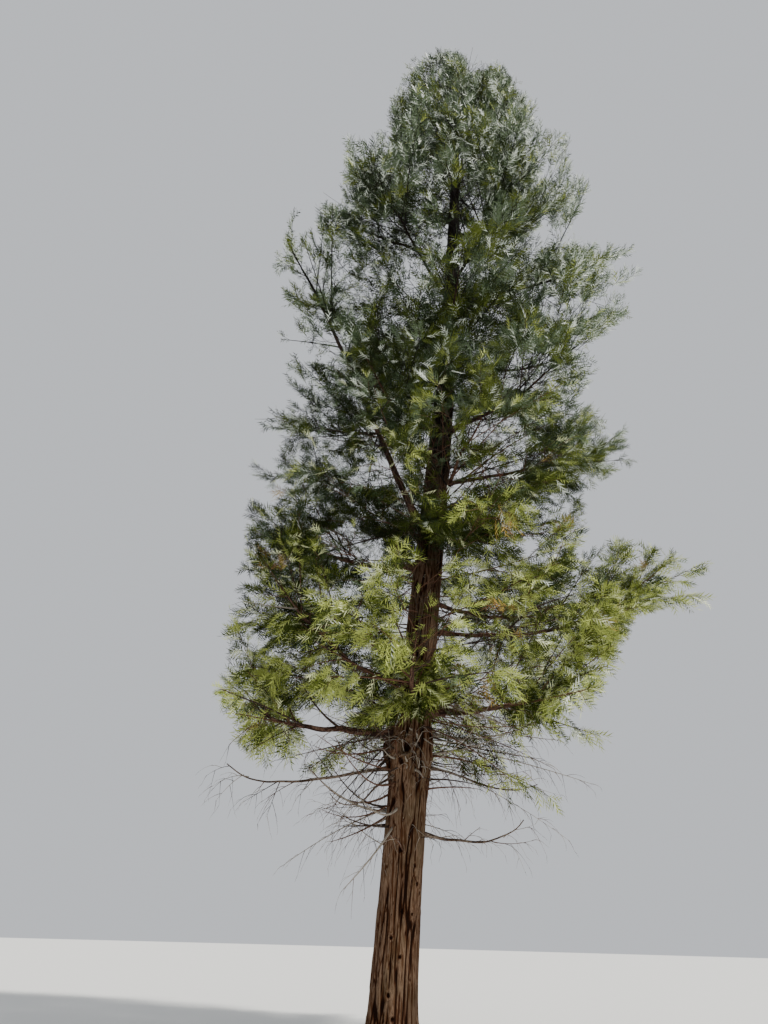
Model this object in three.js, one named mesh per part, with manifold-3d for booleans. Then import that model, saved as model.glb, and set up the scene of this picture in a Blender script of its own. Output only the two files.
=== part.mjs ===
// An old incense cedar rooted in level ground: trunk, boughs, bare limbs and masses of foliage.
// Millimetres, +Z up. The origin is the centre of the flat cut at ground level. +X points to the right of a
// viewer who stands in front of the tree, and +Y points away from that viewer.
import * as THREE from "three";
import { mergeVertices } from "three/addons/utils/BufferGeometryUtils.js";
import Module from "manifold-3d";

const wasm = await Module();
wasm.setup();

const METRE = 1000;
const DEGREE = Math.PI / 180;
const UP = new THREE.Vector3(0, 0, 1);

// Trunk: one stem from the flat cut to its tip, leaning towards +X and straightening near the top.
const TRUNK_HEIGHT = 25900;
const BUTT_RADIUS = 400; // what the taper gives at the ground, without the flare
const TAPER_POWER = 0.7;
const TIP_RADIUS = 14;
const LEAN = 0.0785; // sideways run for each unit of height
const LEAN_EASE = 0.15; // share of the lean that is lost at the tip
const SWAY = 50;
const SWAY_LENGTHS = [19000, 9000]; // along X and along Y
const FLARE = 150; // extra radius at the ground
const FLARE_FADE = 330;
const ROOT_LOBES = 5;
const ROOT_LOBE_DEPTH = 0.42; // share of the flare
const WHORL_HEIGHT = 4720; // the swollen ring of old dead branches
const WHORL_SWELL = 34;
const WHORL_SPREAD = 420;
const KNOT_HEADING = 205 * DEGREE;
const KNOT_SWELL = 55;
const TRUNK_SIDES = 16;
const TRUNK_RINGS = 25;
const RING_CROWDING = 1.9; // above 1 the rings stand closer at the foot

// Clearances between neighbouring solids.
const SEAT_GAP = 0.35;
const STEM_GAP = 0.3;
const LIMB_CLEAR = 55;
const SPACE_CLEAR = 45; // each side of the surface that parts two masses

// Crown: the reach of the foliage from the trunk, in metres by height, on the +X and the -X side.
const CROWN_PROFILE = [
  [3.9, 2.6, 2.6],
  [5.2, 4.0, 3.8],
  [6.6, 4.4, 3.9],
  [8.6, 5.8, 4.0],
  [10.2, 5.1, 4.2],
  [13.3, 4.1, 4.5],
  [15.0, 4.3, 4.7],
  [17.7, 5.0, 4.8],
  [19.5, 4.1, 4.3],
  [21.2, 4.0, 3.5],
  [23.5, 3.2, 3.0],
  [25.2, 2.6, 2.3],
  [26.4, 1.7, 1.6],
  [27.1, 0.5, 0.5],
];
const CROWN_RAGGEDNESS = 0.1; // share by which one limb's foliage stands out more or less than another's
const SPRAY_REACH = 900; // how far the outermost sprays stand out from a limb's tip
const NEAR_SIDE_SHARE = 0.9; // the limbs towards the viewer are a little shorter

// Rise of a limb's tip over its seat, as a share of its reach, and the slope at which it leaves the trunk.
const LIMB_RISE = [
  [4.5, 0.12, -0.12],
  [8.0, 0.26, 0.02],
  [12.0, 0.34, 0.1],
  [16.0, 0.42, 0.18],
  [19.0, 0.6, 0.36],
  [22.0, 0.75, 0.55],
  [24.5, 0.95, 0.8],
];
const LIMB_CURL = 2.6; // how late a limb turns up
const LIMB_SWING = 9 * DEGREE; // how far it wanders sideways
const ROOT_RADIUS_SHARE = 0.2; // of the trunk's radius at the seat, plus the base below
const ROOT_RADIUS_BASE = 12;
const STEM_TIP_RADIUS = 9;
const LIMB_TAPER_POWER = 0.85;
const BOUGH_SIDES = 6;
const BOUGH_STATIONS = 6;
const STEM_SIDES = 4;
const STEM_STATIONS = 5;

// Boughs that show bare before their foliage: height of the seat, heading, and what differs from the rule.
const BOUGHS = [
  { seat: 5.1, heading: 178, reach: 3.3, rise: 0.24, slope: 0.03, curl: 8, thick: 84, bare: 0.6 },
  { seat: 5.55, heading: 338 },
  { seat: 5.95, heading: 98 },
  { seat: 6.1, heading: 196, reach: 2.95, rise: 0.6, slope: -0.04, curl: 2.5, thick: 62, bare: 0.55 },
  { seat: 7.2, heading: 2, rise: 0.28, slope: -0.02, thick: 52, bare: 0.5 },
  { seat: 7.95, heading: 52, thick: 56 },
  { seat: 8.7, heading: 164 },
  { seat: 9.2, heading: 194, reach: 3.9, rise: 2.15, slope: 2, curl: 2, thick: 78, bare: 0.5 },
  { seat: 10.1, heading: 112 },
  { seat: 10.8, heading: 6, rise: 0.3, slope: 0.22, curl: 3, thick: 50, bare: 0.48 },
  { seat: 12.2, heading: 328 },
  { seat: 12.5, heading: 143 },
  { seat: 13.6, heading: 60 },
  { seat: 14.3, heading: 14 },
  { seat: 15.5, heading: 118 },
  { seat: 16.3, heading: 352, rise: 0.28, slope: 0.12, thick: 46, bare: 0.5 },
  { seat: 16.4, heading: 226, rise: 0.6, slope: 0.4, thick: 46, bare: 0.45 },
  { seat: 18.0, heading: 172, rise: 0.6, slope: 0.4 },
];
const BOUGH_BARE = 0.42; // share of a bough's length that is its own solid

// Limbs whose wood is hidden: their foliage starts at the trunk.
const LEAFY_LIMBS = [
  { seat: 5.7, heading: 268 },
  { seat: 9.3, heading: 283 },
  { seat: 11.2, heading: 238 },
  { seat: 13.3, heading: 272 },
  { seat: 16.9, heading: 292 },
  { seat: 17.3, heading: 62 },
];
// Above these the limbs follow the golden angle up to the tip.
const UPPER_LIMBS = 9;
const UPPER_FROM = 19;
const UPPER_TO = 24.6;
const UPPER_FIRST_HEADING = 8;
const GOLDEN_ANGLE = 137.5;
const LEAFY_FROM = 0.16; // share of the length at which a leafy limb's first twig stands

// Old limbs with no foliage, low on the trunk: reach, then the fall at the elbow and the rise at the tip.
const BARE_LIMBS = [
  { seat: 3.35, heading: 356, reach: 2150, fall: 260, rise: 430, thick: 34 },
  { seat: 4.55, heading: 14, reach: 2600, fall: 420, rise: 60, thick: 30 },
  { seat: 4.5, heading: 176, reach: 3500, fall: 480, rise: 330, thick: 38 },
  { seat: 4.4, heading: 214, reach: 1700, fall: 900, rise: 0, thick: 26 },
  { seat: 4.1, heading: 84, reach: 2300, fall: 380, rise: 250, thick: 30 },
];
const BARE_RECOVERY = 0.4; // share of the fall that the tip makes good, besides its rise
const BARE_CURL = 5;
const BARE_THINNING = 0.72; // share of the thickness lost at the tip
const BARE_SIDES = 5;
const BARE_STATIONS = 9;

// Foliage: twigs on a stem, each ending in a flat toothed spray and with another at its side. Each spray stands
// for many small ones.
const TWIGS_PER_MASS = 7;
const TWIG_SPREAD = 58 * DEGREE; // from the stem, at its foot
const TWIG_SPREAD_AT_TIP = 32 * DEGREE;
const TWIG_TILTS = [0.15, 0.8, -0.55]; // up or down out of the fan, in radians
const TWIG_RADIUS = 22;
const TWIG_STEM_SHARE = 0.55; // of the stem's radius, which a twig's root never passes
const TWIG_LENGTH_SHARE = 0.42; // of the limb's reach, at the stem's foot
const TWIG_SHORTENING = 0.4; // share lost towards the stem's tip
const TWIG_UPTURN = 0.16;
const NECK_RADIUS = 11; // where a twig becomes its spray
const STALK_RADIUS = 7; // a side spray's stalk
const STALK_LENGTH = 110;
const STALK_SEAT = 0.5; // along its twig
const STALK_TURN = 0.85; // away from the twig's own way, in radians
const SPRAY_TURN = 0.15; // of an end spray
const SPRAY_LENGTH = 1450;
const SPRAY_WIDTH = 1250;
const SPRAY_THICKNESS = 34;
const SPRAY_HEART = [0.5, 0.02]; // the thickest point, along and across
const SPRAY_OUTLINE = [
  [0.6, -0.46],
  [0.64, -0.12],
  [1, 0.04],
  [0.52, 0.44],
];
const SPRAY_TRIES = [1, 1, 1, 0.85, 0.85, 0.7, 0.7, 0.55]; // sizes, each with another seeded turn
const TWIG_TRIES = [1, 1, 0.8, 0.8, 0.6, 0.6, 0.45, 0.45]; // lengths that go with them
const TIP_SHOOT = 500; // the leader's own growth above the trunk's tip
const TIP_SPRAYS = 5;
const TIP_SPRAY_STEEPNESS = 1.3;
const TIP_SPRAY_SIZE = 0.5;

const BARK = new THREE.MeshStandardMaterial({ color: 0x6d4936, roughness: 0.95, metalness: 0 });
const BRANCH_BARK = new THREE.MeshStandardMaterial({ color: 0x5a3d2e, roughness: 0.92, metalness: 0 });
const DEAD_WOOD = new THREE.MeshStandardMaterial({ color: 0x8b8073, roughness: 0.95, metalness: 0 });
const FOLIAGE = new THREE.MeshStandardMaterial({ color: 0x5c7a34, roughness: 0.55, metalness: 0 });

// A repeatable number from 0 to 1 for three whole numbers.
function chance(a, b, c = 0) {
  const s = Math.sin(a * 127.1 + b * 311.7 + c * 74.7 + 1.3) * 43758.5453;
  return s - Math.floor(s);
}

// The same, from -1 to 1.
function wobble(a, b, c = 0) {
  return 2 * chance(a, b, c) - 1;
}

// Straight-line reading of a column of rows that start with their key.
function readRows(rows, key, column) {
  const last = rows.length - 1;
  if (key <= rows[0][0]) return rows[0][column];
  if (key >= rows[last][0]) return rows[last][column];
  const i = rows.findIndex((row) => row[0] > key);
  const share = (key - rows[i - 1][0]) / (rows[i][0] - rows[i - 1][0]);
  return THREE.MathUtils.lerp(rows[i - 1][column], rows[i][column], share);
}

function trunkCentre(z) {
  const share = z / TRUNK_HEIGHT;
  const [swayX, swayY] = SWAY_LENGTHS.map((length) => SWAY * Math.sin((2 * Math.PI * z) / length));
  return new THREE.Vector3(LEAN * z * (1 - LEAN_EASE * share ** 4) - swayX, swayY, z);
}

function trunkRadius(z, angle) {
  const taper = BUTT_RADIUS * Math.max(0, 1 - z / TRUNK_HEIGHT) ** TAPER_POWER;
  const lobes = 1 + ROOT_LOBE_DEPTH * Math.cos(ROOT_LOBES * angle + 0.8);
  const flare = FLARE * Math.exp(-z / FLARE_FADE) * lobes;
  const ring = Math.exp(-(((z - WHORL_HEIGHT) / WHORL_SPREAD) ** 2));
  const knot = Math.max(0, Math.cos(angle - KNOT_HEADING)) ** 3;
  return Math.max(TIP_RADIUS, taper + flare + ring * (WHORL_SWELL + KNOT_SWELL * knot));
}

// A geometry as a closed solid whose shared corners are merged.
function solidOf(geometry) {
  geometry.deleteAttribute("normal");
  geometry.deleteAttribute("uv");
  const merged = mergeVertices(geometry, 1e-3);
  const vertProperties = new Float32Array(merged.attributes.position.array);
  const triVerts = new Uint32Array(merged.index.array);
  return new wasm.Manifold(new wasm.Mesh({ numProp: 3, vertProperties, triVerts }));
}

// A round bar bent along a path. Each station has its middle, the way the path runs there, and its radius.
function bentBar(stations, sides) {
  const geometry = new THREE.CylinderGeometry(1, 1, 1, sides, stations.length - 1);
  const corners = geometry.attributes.position;
  for (let i = 0; i < corners.count; i++) {
    const share = corners.getY(i) + 0.5;
    const { middle, along, radius } = stations[Math.round(share * (stations.length - 1))];
    const side = sideways(along);
    const over = new THREE.Vector3().crossVectors(side, along);
    const point = middle.clone();
    point.addScaledVector(side, radius * corners.getX(i));
    point.addScaledVector(over, radius * corners.getZ(i));
    corners.setXYZ(i, point.x, point.y, point.z);
  }
  return solidOf(geometry);
}

// The level direction square to a path, or +X where the path stands upright.
function sideways(along) {
  const side = new THREE.Vector3().crossVectors(along, UP);
  return side.lengthSq() < 1e-4 ? new THREE.Vector3(1, 0, 0) : side.normalize();
}

// The trunk, or the same shape grown by a margin, which cuts what seats on it.
function trunkSolid(margin = 0) {
  const geometry = new THREE.CylinderGeometry(1, 1, 1, TRUNK_SIDES, TRUNK_RINGS - 1);
  const corners = geometry.attributes.position;
  for (let i = 0; i < corners.count; i++) {
    const share = corners.getY(i) + 0.5;
    const z = TRUNK_HEIGHT * share ** RING_CROWDING;
    const across = Math.hypot(corners.getX(i), corners.getZ(i));
    const angle = Math.atan2(-corners.getZ(i), corners.getX(i));
    const radius = across < 0.5 ? 0 : trunkRadius(z, angle) + margin;
    const middle = trunkCentre(z);
    const x = middle.x + radius * Math.cos(angle);
    corners.setXYZ(i, x, middle.y + radius * Math.sin(angle), z);
  }
  return solidOf(geometry);
}

// Reach of the crown at a height, on the side that a heading points to.
function crownReach(z, heading) {
  const metres = z / METRE;
  const [right, left] = [1, 2].map((column) => METRE * readRows(CROWN_PROFILE, metres, column));
  const near = Math.max(0, -Math.sin(heading));
  const share = (1 - Math.cos(heading)) / 2;
  return THREE.MathUtils.lerp(right, left, share) * THREE.MathUtils.lerp(1, NEAR_SIDE_SHARE, near);
}

// A live limb from its row: every size that the row leaves out comes from the rule for its height.
function liveLimb(row, index) {
  const seat = row.seat * METRE;
  const heading = row.heading * DEGREE;
  const rise = row.rise ?? readRows(LIMB_RISE, row.seat, 1);
  let reach = crownReach(seat, heading);
  for (let pass = 0; pass < 4; pass++) reach = crownReach(seat + rise * reach, heading) - SPRAY_REACH;
  if (row.reach) reach = row.reach * METRE;
  const root = row.thick ?? ROOT_RADIUS_BASE + ROOT_RADIUS_SHARE * trunkRadius(seat, heading);
  return {
    index,
    seat,
    heading,
    reach,
    rise,
    slope: row.slope ?? readRows(LIMB_RISE, row.seat, 2),
    curl: row.curl ?? LIMB_CURL,
    swing: LIMB_SWING * wobble(index, 1),
    root,
    bare: row.bare ?? BOUGH_BARE,
  };
}

// A point on a live limb, from its seat at 0 to its tip at 1.
function limbPoint(limb, t) {
  const turn = limb.heading + limb.swing * Math.sin(Math.PI * t);
  const lift = limb.slope * t + (limb.rise - limb.slope) * t ** limb.curl;
  const point = trunkCentre(limb.seat);
  point.x += limb.reach * t * Math.cos(turn);
  point.y += limb.reach * t * Math.sin(turn);
  point.z += limb.reach * lift;
  return point;
}

function limbAlong(limb, t) {
  const step = 0.01;
  const from = limbPoint(limb, Math.max(0, t - step));
  return limbPoint(limb, Math.min(1, t + step)).sub(from).normalize();
}

function limbRadius(limb, t) {
  return STEM_TIP_RADIUS + (limb.root - STEM_TIP_RADIUS) * (1 - t) ** LIMB_TAPER_POWER;
}

function limbStations(limb, from, to, count) {
  return Array.from({ length: count }, (_, i) => {
    const t = from + ((to - from) * i) / (count - 1);
    return { middle: limbPoint(limb, t), along: limbAlong(limb, t), radius: limbRadius(limb, t) };
  });
}

// An old bare limb: level at first, down to its elbow and up again at its tip.
function bareLimbPoint(limb, t) {
  const heading = limb.heading * DEGREE;
  const point = trunkCentre(limb.seat * METRE);
  point.x += limb.reach * t * Math.cos(heading);
  point.y += limb.reach * t * Math.sin(heading);
  point.z -= limb.fall * Math.sin(Math.PI * 0.5 * t) ** 2;
  point.z += (limb.fall * BARE_RECOVERY + limb.rise) * t ** BARE_CURL;
  return point;
}

function bareLimbStations(limb) {
  return Array.from({ length: BARE_STATIONS }, (_, i) => {
    const t = i / (BARE_STATIONS - 1);
    const ahead = bareLimbPoint(limb, t + 0.01).sub(bareLimbPoint(limb, t - 0.01));
    const radius = limb.thick * (1 - BARE_THINNING * t);
    return { middle: bareLimbPoint(limb, t), along: ahead.normalize(), radius };
  });
}

// Everything that grows, worked out before any of it is made solid.
const cutter = trunkSolid(SEAT_GAP);
const boughs = BOUGHS.map((row, i) => liveLimb(row, i));
const upperRows = Array.from({ length: UPPER_LIMBS }, (_, i) => ({
  seat: UPPER_FROM + ((UPPER_TO - UPPER_FROM) * i) / (UPPER_LIMBS - 1),
  heading: UPPER_FIRST_HEADING + GOLDEN_ANGLE * i,
}));
const leafyLimbs = [...LEAFY_LIMBS, ...upperRows].map((row, i) => {
  return { ...liveLimb(row, BOUGHS.length + i), bare: 0 };
});
const liveLimbs = [...boughs, ...leafyLimbs];

// Each limb's middle line, as short straight pieces that know whether they are bare wood or inside foliage.
function middleLine(limb, pointAt, radiusAt, bare, steps = 14) {
  return Array.from({ length: steps }, (_, i) => ({
    line: new THREE.Line3(pointAt(i / steps), pointAt((i + 1) / steps)),
    radius: radiusAt(i / steps),
    leafy: (i + 0.5) / steps > bare,
    limb,
  }));
}
const middleLines = [
  ...liveLimbs.flatMap((limb) =>
    middleLine(limb, (t) => limbPoint(limb, t), (t) => limbRadius(limb, t), limb.bare)),
  ...BARE_LIMBS.flatMap((limb) =>
    middleLine(limb, (t) => bareLimbPoint(limb, t), () => limb.thick, 1)),
];

// Whether points of a limb's foliage stay in its space: inside the crown, nearer to their own limb than to any
// other, and off the trunk and every bare bough.
const nearest = new THREE.Vector3();
function isClear(points, limb) {
  const stretch = 1 + CROWN_RAGGEDNESS * wobble(limb.index, 7);
  return points.every((point) => {
    const middle = trunkCentre(THREE.MathUtils.clamp(point.z, 0, TRUNK_HEIGHT));
    const off = Math.hypot(point.x - middle.x, point.y - middle.y);
    if (point.z < TRUNK_HEIGHT && off < trunkRadius(point.z, 0) + 2 * LIMB_CLEAR) return false;
    const heading = Math.atan2(point.y - middle.y, point.x - middle.x);
    if (off > stretch * crownReach(point.z, heading)) return false;
    let own = Infinity;
    let others = Infinity;
    for (const piece of middleLines) {
      const gap = piece.line.closestPointToPoint(point, true, nearest).distanceTo(point);
      if (!piece.leafy && gap < piece.radius + LIMB_CLEAR) return false;
      if (piece.limb === limb) own = Math.min(own, gap);
      else if (piece.leafy) others = Math.min(others, gap);
    }
    return own + SPACE_CLEAR < others - SPACE_CLEAR;
  });
}

// Three corners round a middle: two at the sides of the spray to come, and one on its upper face.
function ringPoints(middle, way, face, radius) {
  const across = new THREE.Vector3().crossVectors(face, way).normalize();
  const over = new THREE.Vector3().crossVectors(way, across);
  return [-30, 210, 90].map((degrees) =>
    middle
      .clone()
      .addScaledVector(across, -radius * Math.cos(degrees * DEGREE))
      .addScaledVector(over, radius * Math.sin(degrees * DEGREE)),
  );
}

// A three-sided stalk that ends in a flat toothed spray. The stalk goes its way, and the spray points along.
function frond({ root, way, length, radius, neck, along, face, size }) {
  const end = root.clone().addScaledVector(way, length);
  const across = new THREE.Vector3().crossVectors(face, along);
  const place = ([u, v], rise) =>
    end
      .clone()
      .addScaledVector(along, u * SPRAY_LENGTH * size)
      .addScaledVector(across, v * SPRAY_WIDTH * size)
      .addScaledVector(face, rise);
  const rim = SPRAY_OUTLINE.map((corner) => place(corner, 0));
  const hearts = [1, -1].map((side) => place(SPRAY_HEART, (side * SPRAY_THICKNESS) / 2));
  const rings = [...ringPoints(root, way, face, radius), ...ringPoints(end, way, face, neck)];
  return { root, way, end, rim, hearts, rings };
}

// Points of a frond that have to stay in its space.
function frondProbes({ root, end, rim, hearts }) {
  const middle = hearts[0].clone().lerp(hearts[1], 0.5);
  const stalk = [0.25, 0.5, 0.75, 1].map((share) => root.clone().lerp(end, share));
  const spokes = rim.flatMap((corner) => [0.4, 0.7, 1].map((share) => middle.clone().lerp(corner, share)));
  const edges = rim.slice(1).map((corner, i) => corner.clone().lerp(rim[i], 0.5));
  return [...stalk, middle, ...spokes, ...edges];
}

function frondSolid({ rim, hearts, rings }) {
  const geometry = new THREE.BufferGeometry().setFromPoints([...rings, ...rim, ...hearts]);
  const [right, left, upper] = [3, 4, 5];
  const round = [...rim.keys()].map((i) => i + rings.length);
  const [top, bottom] = [rings.length + rim.length, rings.length + rim.length + 1];
  const fan = (centre, loop) => loop.flatMap((corner, i) => [centre, corner, loop[(i + 1) % loop.length]]);
  const stalk = [0, 1, 2].flatMap((i) => {
    const next = (i + 1) % 3;
    return [i, next, next + 3, i, next + 3, i + 3];
  });
  geometry.setIndex([
    ...[0, 2, 1],
    ...stalk,
    ...fan(top, [...round, left, upper, right]),
    ...fan(bottom, [left, ...round.toReversed(), right]),
  ]);
  return solidOf(geometry);
}

// The way a spray's face looks: square to its length, turned about it by an angle.
function faceOf(along, angle) {
  const side = sideways(along);
  const over = new THREE.Vector3().crossVectors(along, side);
  return side.multiplyScalar(Math.cos(angle)).addScaledVector(over, Math.sin(angle)).normalize();
}

// Grows the first of a frond's seeded tries that stays in its space and meets the mass at its root only.
function grow(mass, { limb, root, way, lengths, radius, neck, turn, seed }) {
  for (const [attempt, size] of SPRAY_TRIES.entries()) {
    const salt = seed + 100 * attempt;
    const along = way.clone().applyAxisAngle(UP, turn * (1 + 0.5 * wobble(limb.index, salt, 1)));
    along.z += 0.4 * wobble(limb.index, salt, 2);
    along.normalize();
    const face = faceOf(along, Math.PI * chance(limb.index, salt, 3));
    const shape = frond({ root, way, length: lengths[attempt], radius, neck, along, face, size });
    if (!isClear(frondProbes(shape), limb)) continue;
    const solid = frondSolid(shape);
    if (solid.intersect(mass.solid).decompose().length !== 1) continue;
    mass.solid = mass.solid.add(solid);
    return shape;
  }
  return null;
}

// The twigs of one limb's foliage, by a seeded rule: alternate sides, fanned out, shorter towards the tip.
function twigOf(limb, order) {
  const first = Math.max(limb.bare, LEAFY_FROM);
  const share = (order + 0.35) / TWIGS_PER_MASS;
  const t = first + (1 - first) * share;
  const along = limbAlong(limb, t);
  const side = sideways(along).multiplyScalar(order % 2 ? 1 : -1);
  const over = new THREE.Vector3().crossVectors(along, side).normalize();
  if (over.z < 0) over.negate();
  const spread = THREE.MathUtils.lerp(TWIG_SPREAD, TWIG_SPREAD_AT_TIP, share);
  const open = spread + 0.15 * wobble(limb.index, order, 4);
  const tilt = TWIG_TILTS[(order + limb.index) % TWIG_TILTS.length] + 0.25 * wobble(limb.index, order, 5);
  const way = along
    .clone()
    .multiplyScalar(Math.cos(open))
    .addScaledVector(side, Math.sin(open) * Math.cos(tilt))
    .addScaledVector(over, Math.sin(open) * Math.sin(tilt));
  way.z += TWIG_UPTURN;
  way.normalize();
  const reach = limb.reach * TWIG_LENGTH_SHARE * (1 - TWIG_SHORTENING * share);
  const length = reach * (0.85 + 0.3 * chance(limb.index, order, 6));
  const lengths = TWIG_TRIES.map((tried) => tried * length);
  const radius = Math.min(TWIG_RADIUS, TWIG_STEM_SHARE * limbRadius(limb, t));
  return { limb, root: limbPoint(limb, t), way, lengths, radius, neck: NECK_RADIUS };
}

// One mass: its stem goes on from the bough's end, or from the trunk, and carries twigs with their sprays.
function massSolid(limb) {
  const stations = limbStations(limb, limb.bare, 1, STEM_STATIONS);
  if (limb.bare > 0) stations[0].middle.addScaledVector(stations[0].along, STEM_GAP);
  const mass = { solid: bentBar(stations, STEM_SIDES) };
  if (limb.bare === 0) mass.solid = mass.solid.subtract(cutter);
  const lengths = SPRAY_TRIES.map(() => STALK_LENGTH);
  const stalk = { limb, lengths, radius: STALK_RADIUS, neck: STALK_RADIUS };
  for (let order = 0; order < TWIGS_PER_MASS; order++) {
    const side = order % 2 ? 1 : -1;
    const twig = grow(mass, { ...twigOf(limb, order), turn: side * SPRAY_TURN, seed: 10 * order });
    if (!twig) continue;
    const way = twig.way.clone().applyAxisAngle(UP, side * STALK_TURN);
    const root = twig.root.clone().lerp(twig.end, STALK_SEAT);
    grow(mass, { ...stalk, root, way, turn: 0, seed: 10 * order + 1 });
  }
  const along = limbAlong(limb, 1);
  const foot = limbPoint(limb, 1).addScaledVector(along, -STALK_LENGTH / 2);
  grow(mass, { ...stalk, root: foot, way: along, turn: SPRAY_TURN, seed: 90 });
  return mass.solid;
}

// The leader's shoot: an upright stem on the trunk's tip with sprays all round it.
function tipSolid() {
  const foot = trunkCentre(TRUNK_HEIGHT);
  foot.z += STEM_GAP;
  const top = foot.clone().addScaledVector(UP, TIP_SHOOT);
  const stations = [foot, top].map((middle) => ({ middle, along: UP, radius: TIP_RADIUS }));
  let solid = bentBar(stations, 4);
  const stalk = { length: STALK_LENGTH, radius: STALK_RADIUS, neck: STALK_RADIUS, size: TIP_SPRAY_SIZE };
  for (let k = 0; k < TIP_SPRAYS; k++) {
    const turn = (2 * Math.PI * k) / TIP_SPRAYS;
    const way = new THREE.Vector3(Math.cos(turn), Math.sin(turn), TIP_SPRAY_STEEPNESS).normalize();
    const root = foot.clone().lerp(top, 0.25 + (0.7 * k) / TIP_SPRAYS);
    solid = solid.add(frondSolid(frond({ ...stalk, root, way, along: way, face: faceOf(way, turn) })));
  }
  return solid;
}

const tree = new THREE.Group();
tree.name = "incense_cedar";

// Adds a solid as a named mesh that stands at its own seat.
function addMesh(name, solid, seat, material) {
  const { numProp, vertProperties, triVerts } = solid.getMesh();
  const positions = new Float32Array((vertProperties.length / numProp) * 3);
  for (let i = 0; i < positions.length / 3; i++) {
    positions.set(vertProperties.subarray(i * numProp, i * numProp + 3), i * 3);
  }
  const geometry = new THREE.BufferGeometry();
  geometry.setAttribute("position", new THREE.BufferAttribute(positions, 3));
  geometry.setIndex(new THREE.BufferAttribute(new Uint32Array(triVerts), 1));
  geometry.translate(-seat.x, -seat.y, -seat.z);
  geometry.computeVertexNormals();
  const mesh = new THREE.Mesh(geometry, material);
  mesh.name = name;
  mesh.position.copy(seat);
  tree.add(mesh);
}

const two = (n) => String(n).padStart(2, "0");

addMesh("trunk", trunkSolid(), new THREE.Vector3(), BARK);
boughs.forEach((limb, i) => {
  const solid = bentBar(limbStations(limb, 0, limb.bare, BOUGH_STATIONS), BOUGH_SIDES).subtract(cutter);
  addMesh(`bough_${two(i + 1)}`, solid, trunkCentre(limb.seat), BRANCH_BARK);
});
BARE_LIMBS.forEach((limb, i) => {
  const solid = bentBar(bareLimbStations(limb), BARE_SIDES).subtract(cutter);
  addMesh(`bare_limb_${i + 1}`, solid, trunkCentre(limb.seat * METRE), DEAD_WOOD);
});
boughs.forEach((limb, i) => {
  addMesh(`foliage_${two(i + 1)}`, massSolid(limb), limbPoint(limb, limb.bare), FOLIAGE);
});
leafyLimbs.forEach((limb, i) => {
  addMesh(`foliage_${two(boughs.length + i + 1)}`, massSolid(limb), trunkCentre(limb.seat), FOLIAGE);
});
addMesh("foliage_tip", tipSolid(), trunkCentre(TRUNK_HEIGHT), FOLIAGE);

export default tree;
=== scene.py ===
"""An old incense cedar: furrowed trunk, boughs, dead limbs and twigs, and feathery foliage, round the frame.

Metres, +Z up. The origin is the middle of the flat cut at ground level, +X points to the right of a viewer in
front of the tree, and +Y points away from that viewer. Limbs, twigs and sprays grow by the rule of the part's
own source, written again here and carried on to finer twigs.
"""

import logging
import math
from collections.abc import Callable, Sequence
from dataclasses import dataclass, replace
from enum import Enum
from typing import NamedTuple

import bpy
import numpy as np
from mathutils import Matrix, Vector
from numpy.typing import NDArray


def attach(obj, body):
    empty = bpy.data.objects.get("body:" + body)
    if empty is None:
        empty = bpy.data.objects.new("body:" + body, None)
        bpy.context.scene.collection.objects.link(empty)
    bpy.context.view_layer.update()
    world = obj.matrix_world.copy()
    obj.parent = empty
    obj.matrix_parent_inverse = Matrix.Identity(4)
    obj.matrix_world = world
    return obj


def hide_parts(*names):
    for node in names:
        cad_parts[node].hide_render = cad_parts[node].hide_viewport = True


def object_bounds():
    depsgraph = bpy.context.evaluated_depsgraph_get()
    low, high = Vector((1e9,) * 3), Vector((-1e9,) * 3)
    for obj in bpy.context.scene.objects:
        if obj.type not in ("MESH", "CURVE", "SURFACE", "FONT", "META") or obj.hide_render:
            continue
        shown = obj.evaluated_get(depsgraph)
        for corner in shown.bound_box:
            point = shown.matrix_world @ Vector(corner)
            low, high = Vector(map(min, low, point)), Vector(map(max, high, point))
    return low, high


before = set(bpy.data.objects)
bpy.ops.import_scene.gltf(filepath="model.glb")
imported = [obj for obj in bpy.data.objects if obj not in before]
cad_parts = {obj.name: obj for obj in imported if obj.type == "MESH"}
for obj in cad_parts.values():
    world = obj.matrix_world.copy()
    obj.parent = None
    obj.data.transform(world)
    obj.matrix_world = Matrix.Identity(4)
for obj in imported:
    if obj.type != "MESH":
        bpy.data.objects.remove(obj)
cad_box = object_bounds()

Array = NDArray[np.float64]
Whole = NDArray[np.int64]
Flags = NDArray[np.bool_]
Number = Array | float
Pair = tuple[float, float]
Triple = tuple[float, float, float]
Material = bpy.types.Material

log = logging.getLogger("incense_cedar")
UP = np.array([0.0, 0.0, 1.0])
BOX_SPARE = 0.016
GOLDEN_ANGLE = 137.5
ENDLESS = 9999


def chance(a: Number, b: Number, c: Number = 0) -> Array:
    """A repeatable number from 0 to 1: the part after the point of a large multiple of a sine."""
    weight_a, weight_b, weight_c, shift, multiple = 127.1, 311.7, 74.7, 1.3, 43758.5453
    mixed = np.asarray(a) * weight_a + np.asarray(b) * weight_b + np.asarray(c) * weight_c + shift
    scrambled = np.sin(mixed) * multiple
    return scrambled - np.floor(scrambled)


def wobble(a: Number, b: Number, c: Number = 0) -> Array:
    """The same, from -1 to 1."""
    return 2 * chance(a, b, c) - 1


def unit(vectors: Array) -> Array:
    """The vectors, each made one long."""
    return vectors / np.maximum(np.linalg.norm(vectors, axis=-1, keepdims=True), 1e-9)


def between(low: Number, high: Number, share: Number) -> Array:
    """The value at a share of the way from low to high."""
    return low + (high - low) * np.asarray(share)


def sideways(along: Array) -> Array:
    """The level direction square to each way, or +X where the way stands upright."""
    level = np.cross(along, UP)
    upright = np.linalg.norm(level, axis=-1, keepdims=True) < 1e-2
    return unit(np.where(upright, [1.0, 0.0, 0.0], level))


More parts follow.
